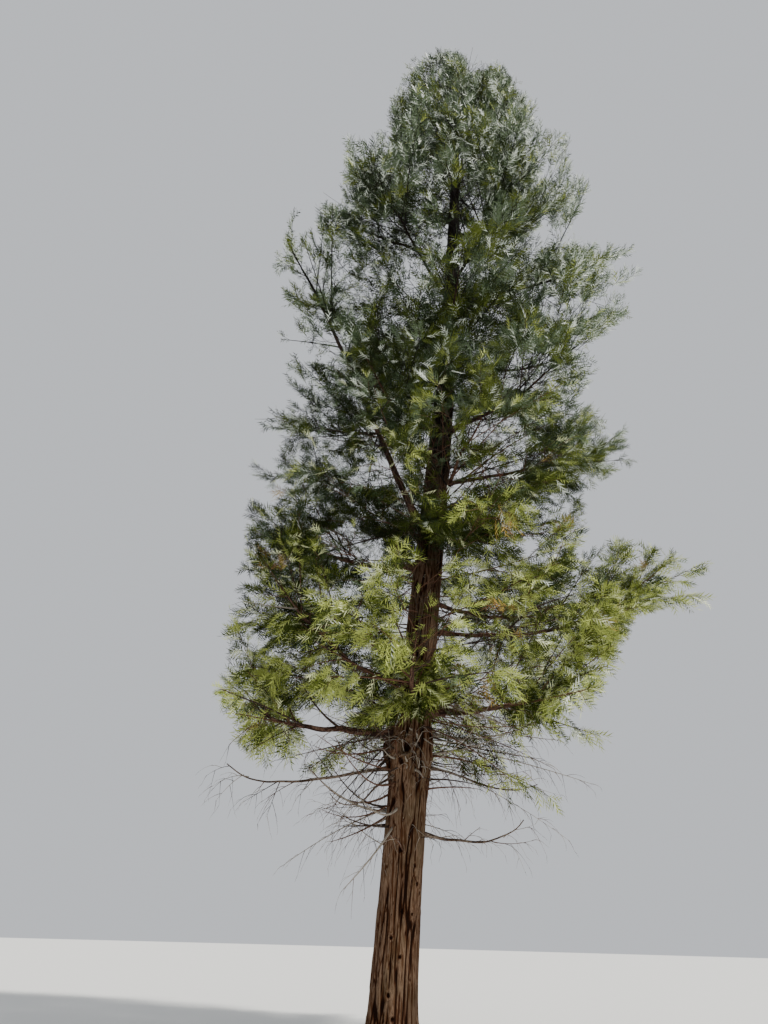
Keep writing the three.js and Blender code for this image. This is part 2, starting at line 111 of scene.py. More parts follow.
def outward(heading: Array) -> Array:
    """The level way out on a heading."""
    return np.stack([np.cos(heading), np.sin(heading), 0 * heading], axis=-1)


def leaning(along: Array, side: Array, over: Array, opening: Array, tilt: Array) -> Array:
    """The way at an angle from along, towards a direction that is tilted from side to over."""
    across, off = np.sin(opening) * np.cos(tilt), np.sin(opening) * np.sin(tilt)
    return along * np.cos(opening)[:, None] + side * across[:, None] + over * off[:, None]


def left_and_right(order: Whole) -> Array:
    """1 for odd and -1 for even numbers, so that shoots stand to each side in turn."""
    return np.where(order % 2, 1.0, -1.0)


def smooth_step(low: float, high: float, value: Array) -> Array:
    """0 below low, 1 above high, and an even S between."""
    share = np.clip((value - low) / (high - low), 0, 1)
    return share * share * (3 - 2 * share)


def ascent(z: Array, span: float = 17.0) -> Array:
    """How far up the crown a height is: 0 at 5 m and below, and 1 a span above that."""
    return np.clip((z - 5) / span, 0, 1)


def around_noise(u: Array, v: Array, cells: int, seed: float) -> Array:
    """Smooth noise from -1 to 1 on a lattice that closes on itself after a number of cells along u.

    Formula: each lattice corner has its own seeded number, and a point blends its four corners by an even S.
    """
    column, row = np.floor(u), np.floor(v)
    across = smooth_step(0, 1, u - column)
    edges = [[wobble(np.mod(column + i, cells), row + j, seed) for i in (0, 1)] for j in (0, 1)]
    low, high = (between(left, right, across) for left, right in edges)
    return between(low, high, smooth_step(0, 1, v - row))


@dataclass
class Surface:
    """A mesh in the making.

    Attributes:
        corners: one row of x, y and z for each corner.
        triangles: three corner numbers for each face.
        relief: a number for each corner, 0 in a furrow and 1 on the bark's face.
        finish: the number of each face's finish.
    """

    corners: Array
    triangles: Whole
    relief: Array | None = None
    finish: Whole | None = None


def joined(surfaces: Sequence[Surface]) -> Surface:
    """Several surfaces with finishes as one, with their corner numbers moved on."""
    starts = np.cumsum([0] + [len(s.corners) for s in surfaces[:-1]])
    triangles = np.concatenate([s.triangles + start for s, start in zip(surfaces, starts)])
    finish = np.concatenate([s.finish for s in surfaces])
    return Surface(np.concatenate([s.corners for s in surfaces]), triangles, finish=finish)


def walls(number: Whole) -> list[tuple[Whole, Whole, Whole]]:
    """Two trios of corner numbers for each square between rings of corners, which lie along the last axis."""
    here, ahead = number[..., :-1, :], number[..., 1:, :]
    here_on, ahead_on = np.roll(here, -1, axis=-1), np.roll(ahead, -1, axis=-1)
    return [(here, here_on, ahead_on), (here, ahead_on, ahead)]


def triangles_of(trios: Sequence[tuple[Whole, Whole, Whole]]) -> Whole:
    """Trios of corner numbers as rows of three."""
    return np.concatenate([np.stack([c.reshape(-1) for c in trio], axis=1) for trio in trios])


def tubes(middles: Array, radii: Array, sides: int, relief: Array | None = None) -> Surface:
    """Round bars carried along many paths at once, closed at both ends.

    Formula: corner = middle + radius * (cos(a) * side + sin(a) * over), for an angle a round the path. Side
    is level, over is square to the path and to side, and both keep one reference direction for each path.

    Args:
        middles: paths by stations by 3.
        radii: paths by stations, or paths by stations by sides.
        sides: corners round each ring.
        relief: the bark's height, paths by stations by sides.

    Returns:
        All the bars as one surface.
    """
    paths, stations, _ = middles.shape
    steep_from = 0.93
    along = unit(np.gradient(middles, axis=1))
    steep = np.abs(unit(middles[:, -1] - middles[:, 0])[:, 2:]) > steep_from
    reference = np.where(steep, [1.0, 0.0, 0.0], UP)[:, None, :]
    side = unit(np.cross(along, np.broadcast_to(reference, along.shape)))
    over = np.cross(along, side)
    angle = 2 * np.pi * np.arange(sides) / sides
    if radii.ndim == 2:
        radii = radii[:, :, None]
    ring = np.cos(angle)[:, None] * side[:, :, None, :] + np.sin(angle)[:, None] * over[:, :, None, :]
    corners = middles[:, :, None, :] + radii[..., None] * ring
    number = np.arange(paths * stations * sides).reshape(paths, stations, sides)
    fan = np.arange(1, sides - 1)
    first, last = number[:, 0], number[:, -1]
    caps = [
        (np.repeat(first[:, :1], sides - 2, 1), first[:, fan + 1], first[:, fan]),
        (np.repeat(last[:, :1], sides - 2, 1), last[:, fan], last[:, fan + 1]),
    ]
    heights = None if relief is None else relief.reshape(-1)
    return Surface(corners.reshape(-1, 3), triangles_of(walls(number) + caps), heights)


def arithmetic(operation: str, swapped: bool = False) -> Callable[["Signal", "Signal | float"], "Signal"]:
    """An operator of Signal, which adds one Math node.

    Args:
        operation: the node's operation.
        swapped: whether the other value comes first, as in 1 - mask.

    Returns:
        The method.
    """

    def method(self: "Signal", other: "Signal | float") -> "Signal":
        """The node on self and the other value."""
        first, second = (other, self) if swapped else (self, other)
        return self.board.node("ShaderNodeMath", {"operation": operation}, {0: first, 1: second})

    return method


class Signal:
    """A shader socket in Python arithmetic: each operation on it adds one Math node to its board."""

    def __init__(self, board: "Board", socket: bpy.types.NodeSocket) -> None:
        """Holds a socket of a board."""
        self.board = board
        self.socket = socket

    __add__, __radd__ = arithmetic("ADD"), arithmetic("ADD", swapped=True)
    __sub__, __rsub__ = arithmetic("SUBTRACT"), arithmetic("SUBTRACT", swapped=True)
    __mul__, __rmul__ = arithmetic("MULTIPLY"), arithmetic("MULTIPLY", swapped=True)


class Board:
    """The node tree of one material."""

    def __init__(self, name: str) -> None:
        """Starts a material with its usual shader."""
        self.material = bpy.data.materials.new(name)
        self.material.use_nodes = True
        self.nodes = self.material.node_tree.nodes
        self.shader = next(n for n in self.nodes if n.type == "BSDF_PRINCIPLED")

    def node(self, kind: str, settings: dict, sockets: dict, output: int = 0) -> Signal:
        """Adds a node.

        Args:
            kind: the node's type.
            settings: its own settings, set first; "stops" are a ramp's places and colours.
            sockets: values or signals for its inputs, by number or name.
            output: which output to give back.

        Returns:
            The output as a signal.
        """
        made = self.nodes.new(kind)
        for name, value in settings.items():
            if name == "stops":
                ramp = made.color_ramp.elements
                for place, _ in value[2:]:
                    ramp.new(place)
                for stop, (place, colour) in zip(ramp, value):
                    stop.position, stop.color = place, (*colour, 1)
            else:
                setattr(made, name, value)
        for key, value in sockets.items():
            self.feed(made.inputs[key], value)
        return Signal(self, made.outputs[output])

    def feed(self, socket: bpy.types.NodeSocket, value: object) -> None:
        """Links a signal to a socket, or sets the socket's own value."""
        if isinstance(value, Signal):
            self.material.node_tree.links.new(value.socket, socket)
        elif isinstance(value, tuple) and socket.type == "RGBA":
            socket.default_value = (*value, 1)
        else:
            socket.default_value = value

    def stretched_noise(self, stretch: Triple, scale: float, detail: float, shift: float = 0) -> Signal:
        """Noise on Object coordinates, drawn out by a Mapping node; from about 0.3 to 0.7."""
        place = self.node("ShaderNodeTexCoord", {}, {}, output=3)
        mapping = {"Vector": place, "Scale": stretch, "Location": (shift, 0, 0)}
        drawn = self.node("ShaderNodeMapping", {}, mapping)
        sockets = {"Vector": drawn, "Scale": scale, "Detail": detail, "Roughness": 0.6}
        return self.node("ShaderNodeTexNoise", {"noise_dimensions": "3D"}, sockets)

    def height(self, low: float, high: float, at_low: float, at_high: float) -> Signal:
        """A number that goes evenly from one value to another between two heights on the piece."""
        place = self.node("ShaderNodeTexCoord", {}, {}, output=3)
        upward = self.node("ShaderNodeSeparateXYZ", {}, {0: place}, output=2)
        sockets = {"Value": upward, "From Min": low, "From Max": high, "To Min": at_low, "To Max": at_high}
        return self.node("ShaderNodeMapRange", {"interpolation_type": "SMOOTHSTEP"}, sockets)

    def attribute(self, name: str) -> Signal:
        """The piece's own named numbers."""
        return self.node("ShaderNodeAttribute", {"attribute_name": name}, {}, output=2)

    def ramp(self, value: Signal, *stops: tuple[float, Triple]) -> Signal:
        """A colour for each value."""
        return self.node("ShaderNodeValToRGB", {"stops": stops}, {0: value})

    def grey(self, value: Signal, low: float, high: float, at_low: float = 0, at_high: float = 1) -> Signal:
        """A grey that goes from one level to another between two values."""
        return self.ramp(value, (low, (at_low,) * 3), (high, (at_high,) * 3))

    def mix(self, share: Signal | float, first: object, second: object) -> Signal:
        """Two colours blended."""
        sockets = {0: share, 6: first, 7: second}
        return self.node("ShaderNodeMix", {"data_type": "RGBA", "blend_type": "MIX"}, sockets, output=2)

    def bump(self, height: Signal, strength: float, depth: float) -> Signal:
        """A Bump node for the shader's Normal."""
        return self.node("ShaderNodeBump", {}, {"Strength": strength, "Distance": depth, "Height": height})

    def dress(self, **sockets: object) -> Material:
        """Feeds the shader's sockets, named with underscores for spaces, and gives the material back."""
        for name, value in sockets.items():
            self.feed(self.shader.inputs[name.replace("_", " ")], value)
        return self.material


@dataclass(frozen=True)
class FurrowedBark:
    """Bark in long flat plates, tan and red-brown with fibres, parted by near-black furrows.

    The furrows follow the mesh's own relief; streaks and fibres are noise drawn out along the trunk. Dull
    green growth lies on some plates. Painted shade darkens the bark at the foot, and painted shade of the
    crown turns it nearly black high up.
    """

    name: str = "trunk_bark"
    furrow: Triple = (0.009, 0.003, 0.001)
    crack: Triple = (0.012, 0.005, 0.003)
    flank: Triple = (0.050, 0.015, 0.0045)
    plate: Triple = (0.081, 0.038, 0.018)
    weathered: Triple = (0.194, 0.126, 0.083)
    growth: Triple = (0.052, 0.048, 0.024)
    # Near-black painted shade of the crown, which the bark goes over to high up.
    old: Triple = (0.0035, 0.003, 0.0025)
    growth_share: float = 0.35
    stretch: Triple = (1.0, 1.0, 0.07)
    streak_scale: float = 26
    fibre_scale: float = 110
    fibre_depth: float = 0.006

    def material(self) -> Material:
        """Builds the nodes: relief picks furrow, flank or plate, noise streaks each, and painted shade
        darkens by height.
        """
        board = Board(self.name)
        relief = board.attribute("relief")
        streak = board.stretched_noise(self.stretch, self.streak_scale, 5)
        fibre = board.stretched_noise(self.stretch, self.fibre_scale, 3, shift=3.7)
        cloud = board.stretched_noise((1, 1, 0.45), 2.2, 3, shift=8.1)
        bands = (self.flank, self.plate, self.weathered, self.plate, self.flank)
        face = board.ramp(streak, *zip((0.33, 0.43, 0.54, 0.64, 0.76), bands))
        face = board.mix(board.grey(cloud, 0.46, 0.62, 0, self.growth_share), face, self.growth)
        worn = board.grey(relief * 0.85 + streak * 0.3, 0.46, 0.80)
        depth = board.grey(relief, 0.18, 0.56)
        colour = board.mix(depth, self.furrow, board.mix(worn, self.flank, face))
        colour = board.mix(board.grey(fibre, 0.36, 0.52, 0.55), self.crack, colour)
        # Painted shade at the foot: below 3.5 m the bark goes up to a quarter of the way to the furrows'
        # near-black.
        colour = board.mix(board.height(0.5, 3.5, 0.24, 0.0), colour, self.furrow)
        # Painted shade of the crown: from 5 m to 14 m the bark goes nearly all the way to near-black.
        colour = board.mix(board.height(5.0, 14.0, 0.0, 0.96), colour, self.old)
        bump = board.bump(fibre + streak * 0.8, 0.8, self.fibre_depth)
        roughness = 0.82 + fibre * 0.2
        return board.dress(Base_Color=colour, Roughness=roughness, Normal=bump, Specular_IOR_Level=0.06)


@dataclass(frozen=True)
class LimbBark:
    """Thin bark or bare wood of a limb: streaks along it, paler where it is weathered."""

    name: str
    deep: Triple
    face: Triple
    weathered: Triple
    # Near-black painted shade of the crown, which the limbs go over to high up.
    old: Triple = (0.005, 0.004, 0.003)
    scale: float = 34

    def material(self) -> Material:
        """Builds the nodes: noise picks the colour, the mesh's relief darkens the cracks, painted shade
        darkens high up.
        """
        board = Board(self.name)
        relief = board.attribute("relief")
        streak = board.stretched_noise((1, 1, 1), self.scale, 4)
        cloud = board.stretched_noise((1, 1, 1), 3.1, 3, shift=5.3)
        stops = zip((0.34, 0.5, 0.68), (self.deep, self.face, self.weathered))
        face = board.ramp(streak + cloud * 0.6 - 0.3, *stops)
        colour = board.mix(board.grey(relief, 0.15, 0.6), self.deep, face)
        # Painted shade of the crown: from 9.5 m to 16.5 m the limbs go nearly all the way to near-black.
        colour = board.mix(board.height(9.5, 16.5, 0.0, 0.92), colour, self.old)
        bump, roughness = board.bump(streak, 0.7, 0.004), 0.78 + streak * 0.2
        return board.dress(Base_Color=colour, Roughness=roughness, Normal=bump, Specular_IOR_Level=0.12)


class PlainTint(Enum):
    """A plain colour that faces are dealt, with its roughness and specular level."""

    def material(self) -> Material:
        """The tint as a material, named for its kind and itself."""
        colour, roughness, shine = self.value
        kind = type(self).__name__.removesuffix("Tint").lower()
        board = Board(f"{kind}_{self.name.lower()}")
        return board.dress(Base_Color=colour, Roughness=roughness, Specular_IOR_Level=shine)


class FoliageTint(PlainTint):
    """Leaves: warm and cool greens from painted shade up, a yellow-green partly painted sunlight, painted
    glints, and dying sprays.
    """

    SHADE = ((0.009, 0.014, 0.0015), 0.65, 0.08)
    OLIVE = ((0.034, 0.049, 0.004), 0.60, 0.10)
    LEAF = ((0.100, 0.128, 0.015), 0.55, 0.14)
    # Yellow-green: partly new growth, partly painted sunlight on low and outer sprays.
    SUNLIT_FRESH = ((0.375, 0.430, 0.105), 0.50, 0.2)
    PINE = ((0.029, 0.048, 0.020), 0.60, 0.12)
    SAGE = ((0.108, 0.150, 0.078), 0.55, 0.2)
    # Painted glints: a silvery one for high sprays and a pale one low in the crown.
    SILVER_GLINT = ((0.700, 0.760, 0.670), 0.42, 0.4)
    PALE_GLINT = ((0.700, 0.745, 0.430), 0.45, 0.3)
    STRAW = ((0.380, 0.260, 0.055), 0.60, 0.2)
    RUST = ((0.150, 0.070, 0.022), 0.70, 0.2)


class TwigTint(PlainTint):
    """Twigs: young red-brown bark, older dark bark, near-black painted shade, and grey dead wood."""

    RED = ((0.105, 0.050, 0.030), 0.80, 0.2)
    DARK = ((0.040, 0.025, 0.018), 0.85, 0.2)
    # Near-black painted shade, dealt to twigs high in the crown.
    BLACK = ((0.008, 0.006, 0.005), 0.85, 0.2)
    GREY = ((0.270, 0.235, 0.195), 0.88, 0.2)


def piece_from(
    name: str,
    surface: Surface,
    finishes: Sequence[Material],
    replaced: Sequence[str] = (),
    smooth: bool = True,
) -> None:
    """Puts a surface into a mesh object that rides on the root.

    Args:
        name: the piece's name.
        surface: its corners, triangles, relief and finishes by face.
        finishes: the materials, in the order of the surface's finish numbers.
        replaced: CAD nodes that the piece stands for.
        smooth: whether its faces are shaded as one round surface.
    """
    mesh = bpy.data.meshes.new(name)
    count = len(surface.triangles)
    mesh.vertices.add(len(surface.corners))
    mesh.vertices.foreach_set("co", surface.corners.astype(np.float32).reshape(-1))
    mesh.loops.add(3 * count)
    mesh.loops.foreach_set("vertex_index", surface.triangles.astype(np.int32).reshape(-1))
    mesh.polygons.add(count)
    mesh.polygons.foreach_set("loop_start", np.arange(0, 3 * count, 3, dtype=np.int32))
    mesh.update(calc_edges=True)
    mesh.polygons.foreach_set("use_smooth", np.full(count, smooth))
    if surface.relief is not None:
        relief = mesh.attributes.new("relief", "FLOAT", "POINT")
        relief.data.foreach_set("value", surface.relief.astype(np.float32))
    for finish in finishes:
        mesh.materials.append(finish)
    if surface.finish is not None:
        mesh.polygons.foreach_set("material_index", surface.finish.astype(np.int32))
    made = bpy.data.objects.new(name, mesh)
    bpy.context.scene.collection.objects.link(made)
    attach(made, "root")
    if replaced:
        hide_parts(*replaced)
    log.info("%s: %d triangles, stands for %d nodes", name, count, len(replaced))


@dataclass(frozen=True)
class Stem:
    """The trunk's shape: it leans to the right, flares at its foot and swells at an old ring of limbs."""

    height: float = 25.9
    butt_radius: float = 0.4
    taper_power: float = 0.7
    tip_radius: float = 0.014
    lean: float = 0.0785
    lean_ease: float = 0.15
    sway: float = 0.05
    sway_lengths: Pair = (19.0, 9.0)
    flare: float = 0.15
    flare_fade: float = 0.33
    root_lobes: int = 5
    root_lobe_depth: float = 0.42
    root_lobe_turn: float = 0.8
    whorl_height: float = 4.72
    whorl_swell: float = 0.034
    whorl_spread: float = 0.42
    knot_heading: float = math.radians(205)
    knot_swell: float = 0.055
    knot_sharpness: int = 3

    def centre(self, z: Number) -> Array:
        """The middle at a height: a lean that eases as its fourth power, and a slow sway each way."""
        z = np.asarray(z, float)
        sway_x, sway_y = (self.sway * np.sin(2 * np.pi * z / length) for length in self.sway_lengths)
        lean = self.lean * z * (1 - self.lean_ease * (z / self.height) ** 4)
        return np.stack([lean - sway_x, sway_y, z], axis=-1)

    def radius(self, z: Number, angle: Number) -> Array:
        """The radius: a power of the height left, plus a fading lobed flare and the ring with its knot."""
        z = np.asarray(z, float)
        taper = self.butt_radius * np.maximum(0, 1 - z / self.height) ** self.taper_power
        lobes = 1 + self.root_lobe_depth * np.cos(self.root_lobes * angle + self.root_lobe_turn)
        flare = self.flare * np.exp(-z / self.flare_fade) * lobes
        ring = np.exp(-(((z - self.whorl_height) / self.whorl_spread) ** 2))
        knot = np.maximum(0, np.cos(angle - self.knot_heading)) ** self.knot_sharpness
        return np.maximum(self.tip_radius, taper + flare + ring * (self.whorl_swell + self.knot_swell * knot))

    def under_bark(self, z: Array, heading: Array, share: float) -> Array:
        """Points inside the trunk, on a heading and at a share of the radius."""
        return self.centre(z) + outward(heading) * (share * self.radius(z, heading))[:, None]


@dataclass(frozen=True)
class Envelope:
    """The crown's reach from the trunk, in rows of height, reach on the right and reach on the left."""

    rows: tuple[Triple, ...] = (
        (3.9, 2.6, 2.6), (5.2, 4.0, 3.8), (6.6, 4.4, 3.9), (8.6, 5.8, 4.0), (10.2, 5.1, 4.2),
        (13.3, 4.1, 4.5), (15.0, 4.3, 4.7), (17.7, 5.0, 4.8), (19.5, 4.1, 4.3), (21.2, 4.0, 3.5),
        (23.5, 3.2, 3.0), (25.2, 2.6, 2.3), (26.4, 1.7, 1.6), (27.1, 0.5, 0.5),
    )
    near_side_share: float = 0.9
    near_side_share_at_top: float = 0.5
    leaf_share: float = 1.08
    leaf_share_at_top: float = 1.3
    top_span: Pair = (21.0, 27.0)
    top: float = 27.3
    trunk_clearance: float = 0.11

    def reach(self, z: Number, heading: Number) -> Array:
        """The two sides' reach blended by the heading's cosine, and shorter towards the viewer."""
        heights, right, left = np.array(self.rows).T
        share = (1 - np.cos(heading)) / 2
        near = np.maximum(0, -np.sin(heading))
        side = between(np.interp(z, heights, right), np.interp(z, heights, left), share)
        return side * between(1, self.near_side_share, near)

    def leaf_reach(self, z: Array, heading: Array) -> Array:
        """The same for leaves: a little further out, but less far towards the viewer near the top."""
        high = smooth_step(*self.top_span, z)
        near = np.maximum(0, -np.sin(heading))
        top_share = self.near_side_share_at_top / self.near_side_share
        wide = between(self.leaf_share, self.leaf_share_at_top, high)
        return self.reach(z, heading) * wide * between(1, between(1, top_share, near), high)

    def off_middle(self, stem: Stem, points: Array) -> Array:
        """Points as x and y from the trunk's middle at their height."""
        return points[..., :2] - stem.centre(np.clip(points[..., 2], 0, stem.height))[..., :2]

    def depth(self, stem: Stem, points: Array) -> Array:
        """How far out points lie: 0 on the trunk's middle and 1 at the crown's edge."""
        off = self.off_middle(stem, points)
        heading = np.arctan2(off[..., 1], off[..., 0])
        return np.linalg.norm(off, axis=-1) / self.leaf_reach(points[..., 2], heading)

    def holds(self, stem: Stem, points: Array, stretch: Array) -> Flags:
        """Whether points lie inside the crown, stretched for their limb, and clear of the trunk."""
        z = points[..., 2]
        off = np.linalg.norm(self.off_middle(stem, points), axis=-1)
        clear = (z > stem.height) | (off > stem.radius(z, 0) + self.trunk_clearance)
        return clear & (self.depth(stem, points) < stretch) & (z < self.top * (0.98 + 0.02 * stretch))


@dataclass(frozen=True)
class LimbRow:
    """What differs from the rule for one limb; None leaves a size to the rule."""

    seat: float
    heading: float
    rise: float | None = None
    slope: float | None = None
    curl: float = 2.6
    thick: float | None = None
    bare: float = 0.42
    reach: float | None = None


BOUGHS = (
    LimbRow(5.1, 178, reach=3.3, rise=0.24, slope=0.03, curl=8, thick=0.084, bare=0.6),
    LimbRow(5.55, 338),
    LimbRow(5.95, 98),
    LimbRow(6.1, 196, reach=2.95, rise=0.6, slope=-0.04, curl=2.5, thick=0.062, bare=0.55),
    LimbRow(7.2, 2, rise=0.28, slope=-0.02, thick=0.052, bare=0.5),
    LimbRow(7.95, 52, thick=0.056),
    LimbRow(8.7, 164),
    LimbRow(9.2, 194, reach=3.9, rise=2.15, slope=2, curl=2, thick=0.078, bare=0.5),
    LimbRow(10.1, 112),
    LimbRow(10.8, 6, rise=0.3, slope=0.22, curl=3, thick=0.050, bare=0.48),
    LimbRow(12.2, 328),
    LimbRow(12.5, 143),
    LimbRow(13.6, 60),
    LimbRow(14.3, 14),
    LimbRow(15.5, 118),
    LimbRow(16.3, 352, rise=0.28, slope=0.12, thick=0.046, bare=0.5),
    LimbRow(16.4, 226, rise=0.6, slope=0.4, thick=0.046, bare=0.45),
    LimbRow(18.0, 172, rise=0.6, slope=0.4),
)
LEAFY_SEATS = ((5.7, 268), (9.3, 283), (11.2, 238), (13.3, 272), (16.9, 292), (17.3, 62))
UPPER_SEATS = (19.0, 24.6)
UPPER_COUNT = 9
UPPER_FIRST_HEADING = 8.0
LIMB_RISE = (
    (4.5, 0.12, -0.12), (8.0, 0.26, 0.02), (12.0, 0.34, 0.1), (16.0, 0.42, 0.18), (19.0, 0.6, 0.36),
    (22.0, 0.75, 0.55), (24.5, 0.95, 0.8),
)


def usual_rise(z: Number) -> tuple[Array, Array]:
    """The rule's rise and first slope, for each metre out, of a limb seated at a height."""
    heights, rises, slopes = np.array(LIMB_RISE).T
    return np.interp(z, heights, rises), np.interp(z, heights, slopes)


@dataclass(frozen=True)
class Limb:
    """A live limb, from its seat on the trunk's middle at 0 to its tip at 1."""

    index: int
    stem: Stem
    seat: float
    heading: float
    reach: float
    rise: float
    slope: float
    curl: float
    swing: float
    root: float
    bare: float
    tip_radius: float = 0.009
    taper_power: float = 0.85

    def points(self, t: Number) -> Array:
        """Out on a heading that swings by a sine, and up by slope * t plus the rest of the rise late in t."""
        t = np.asarray(t, float)
        turn = self.heading + self.swing * np.sin(np.pi * t)
        lift = self.slope * t + (self.rise - self.slope) * np.maximum(t, 0) ** self.curl
        out = t[..., None] * outward(turn) + lift[..., None] * UP
        return self.stem.centre(self.seat) + self.reach * out

    def along(self, t: Number) -> Array:
        """The way the limb runs."""
        t = np.asarray(t, float)
        return unit(self.points(np.minimum(1, t + 0.01)) - self.points(np.maximum(0, t - 0.01)))

    def radii(self, t: Array) -> Array:
        """A power of the length left, down to the tip's radius."""
        return self.tip_radius + (self.root - self.tip_radius) * (1 - t) ** self.taper_power


def live_limb(stem: Stem, envelope: Envelope, row: LimbRow, index: int) -> Limb:
    """A limb from its row: what the row leaves out comes from the rule for its height.

    Args:
        stem: the trunk.
        envelope: the crown's reach.
        row: the limb's own sizes.
        index: its number, which seeds its chances.

    Returns:
        The limb.
    """
    spray_reach, swing, root_base, root_share = 0.9, math.radians(9), 0.012, 0.2
    heading = math.radians(row.heading)
    usual = [float(value) for value in usual_rise(row.seat)]
    rise, slope = (own if own is not None else rule for own, rule in zip((row.rise, row.slope), usual))
    reach = float(envelope.reach(row.seat, heading))
    for _ in range(4):
        reach = float(envelope.reach(row.seat + rise * reach, heading)) - spray_reach
    thick = row.thick or root_base + root_share * float(stem.radius(row.seat, heading))
    turn = swing * float(wobble(index, 1))
    own_reach = row.reach or reach
    return Limb(index, stem, row.seat, heading, own_reach, rise, slope, row.curl, turn, thick, row.bare)


def all_limbs(stem: Stem, envelope: Envelope) -> list[Limb]:
    """The boughs, the leafy limbs, and the upper limbs by the golden angle, as the source numbers them."""
    leafy = [LimbRow(seat, heading, bare=0) for seat, heading in LEAFY_SEATS]
    seats = np.linspace(*UPPER_SEATS, UPPER_COUNT)
    upper = [LimbRow(float(z), UPPER_FIRST_HEADING + GOLDEN_ANGLE * i, bare=0) for i, z in enumerate(seats)]
    return [live_limb(stem, envelope, row, i) for i, row in enumerate((*BOUGHS, *leafy, *upper))]


@dataclass(frozen=True)
class BareLimb:
    """An old limb with no foliage: level at first, down to its elbow and up again at its tip."""

    seat: float
    heading: float
    reach: float
    fall: float
    rise: float
    thick: float
    stem: Stem = Stem()
    recovery: float = 0.4
    curl: float = 5
    thinning: float = 0.72

    def points(self, t: Number) -> Array:
        """Straight out, down by a squared sine, and up by the fifth power of t."""
        t = np.asarray(t, float)
        climb = (self.fall * self.recovery + self.rise) * np.maximum(t, 0) ** self.curl
        drop = climb - self.fall * np.sin(np.pi * 0.5 * t) ** 2
        way = outward(np.full_like(t, math.radians(self.heading)))
        return self.stem.centre(self.seat) + self.reach * t[..., None] * way + drop[..., None] * UP

    def along(self, t: Number) -> Array:
        """The way the limb runs."""
        t = np.asarray(t, float)
        return unit(self.points(t + 0.01) - self.points(t - 0.01))

    def radii(self, t: Array) -> Array:
        """An even taper."""
        return self.thick * (1 - self.thinning * t)


BARE_LIMBS = (
    BareLimb(3.35, 356, 2.15, 0.26, 0.43, 0.034),
    BareLimb(4.55, 14, 2.6, 0.42, 0.06, 0.030),
    BareLimb(4.5, 176, 3.5, 0.48, 0.33, 0.038),
    BareLimb(4.4, 214, 1.7, 0.9, 0.0, 0.026),
    BareLimb(4.1, 84, 2.3, 0.38, 0.25, 0.030),
)


@dataclass
class Shoots:
    """Many shoots at once, each a line that bends evenly: root + length * (way * t + bend * t * t).

    Attributes:
        root: where each starts.
        way: its first direction, one long.
        bend: how far it leaves that direction at its tip, for each metre of length.
        length: metres.
        radius: at its foot.
        face: the direction that its flat plate looks to.
        limb: the number of its limb.
        ragged: the share of the crown's reach that it loses, which its side shoots share.
    """

    root: Array
    way: Array
    bend: Array
    length: Array
    radius: Array
    face: Array
    limb: Whole
    ragged: Array

    def pick(self, which: NDArray) -> "Shoots":
        """Some of the shoots."""
        return Shoots(*(getattr(self, name)[which] for name in self.__dataclass_fields__))

    def numbers(self) -> Whole:
        """Each shoot's own number."""
        return np.arange(len(self.length))

    def at(self, t: Array) -> Array:
        """Points at t, which has one value or one row of values for each shoot."""
        extra = (1,) * (t.ndim - 1)
        root, way, bend = (v.reshape(-1, *extra, 3) for v in (self.root, self.way, self.bend))
        return root + self.length.reshape(-1, *extra, 1) * (way * t[..., None] + bend * t[..., None] ** 2)

    def point(self, share: float) -> Array:
        """The point of each shoot at one share of its length."""
        return self.at(np.full(len(self.length), share))

    def along(self, t: Array) -> Array:
        """The way each shoot runs at t."""
        return unit(self.way + 2 * self.bend * t[:, None])

    def cut(self, held: Callable[[Array], Flags], least: float) -> "Shoots":
        """Shortens each shoot to where it first leaves a space, and drops those with too little left.

        Args:
            held: whether points, shoots by stations by 3, are in the space.
            least: the share of its length that a shoot needs.

        Returns:
            The shoots that are left.
        """
        stations = 8
        shares = np.tile(np.linspace(1 / stations, 1, stations), (len(self.length), 1))
        inside = np.cumprod(held(self.at(shares)), axis=1).sum(axis=1) / stations
        short = replace(self, length=self.length * inside, bend=self.bend * inside[:, None])
        return short.pick(inside > least)

    def tubes(self, stations: int, sides: int, tip: float, dealt: Whole) -> Surface:
        """The shoots as thin bars that taper to a share of their foot, each with the finish dealt to it."""
        t = np.tile(np.linspace(0, 1, stations), (len(self.length), 1))
        bars = tubes(self.at(t), self.radius[:, None] * between(1, tip, t), sides)
        return replace(bars, finish=dealt[bars.triangles[:, 0] // (stations * sides)])


def in_box(points: Array) -> Flags:
    """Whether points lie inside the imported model's box, or past it by no more than twigs may."""
    low, high = (np.array(corner) for corner in cad_box)
    spare = BOX_SPARE * (high - low)
    return ((points > low - [*spare[:2], 0]) & (points < high + spare)).all(axis=-1)


def together(groups: Sequence[Shoots]) -> Shoots:
    """Several groups of shoots as one."""
    names = Shoots.__dataclass_fields__
    return Shoots(*(np.concatenate([getattr(group, name) for group in groups]) for name in names))


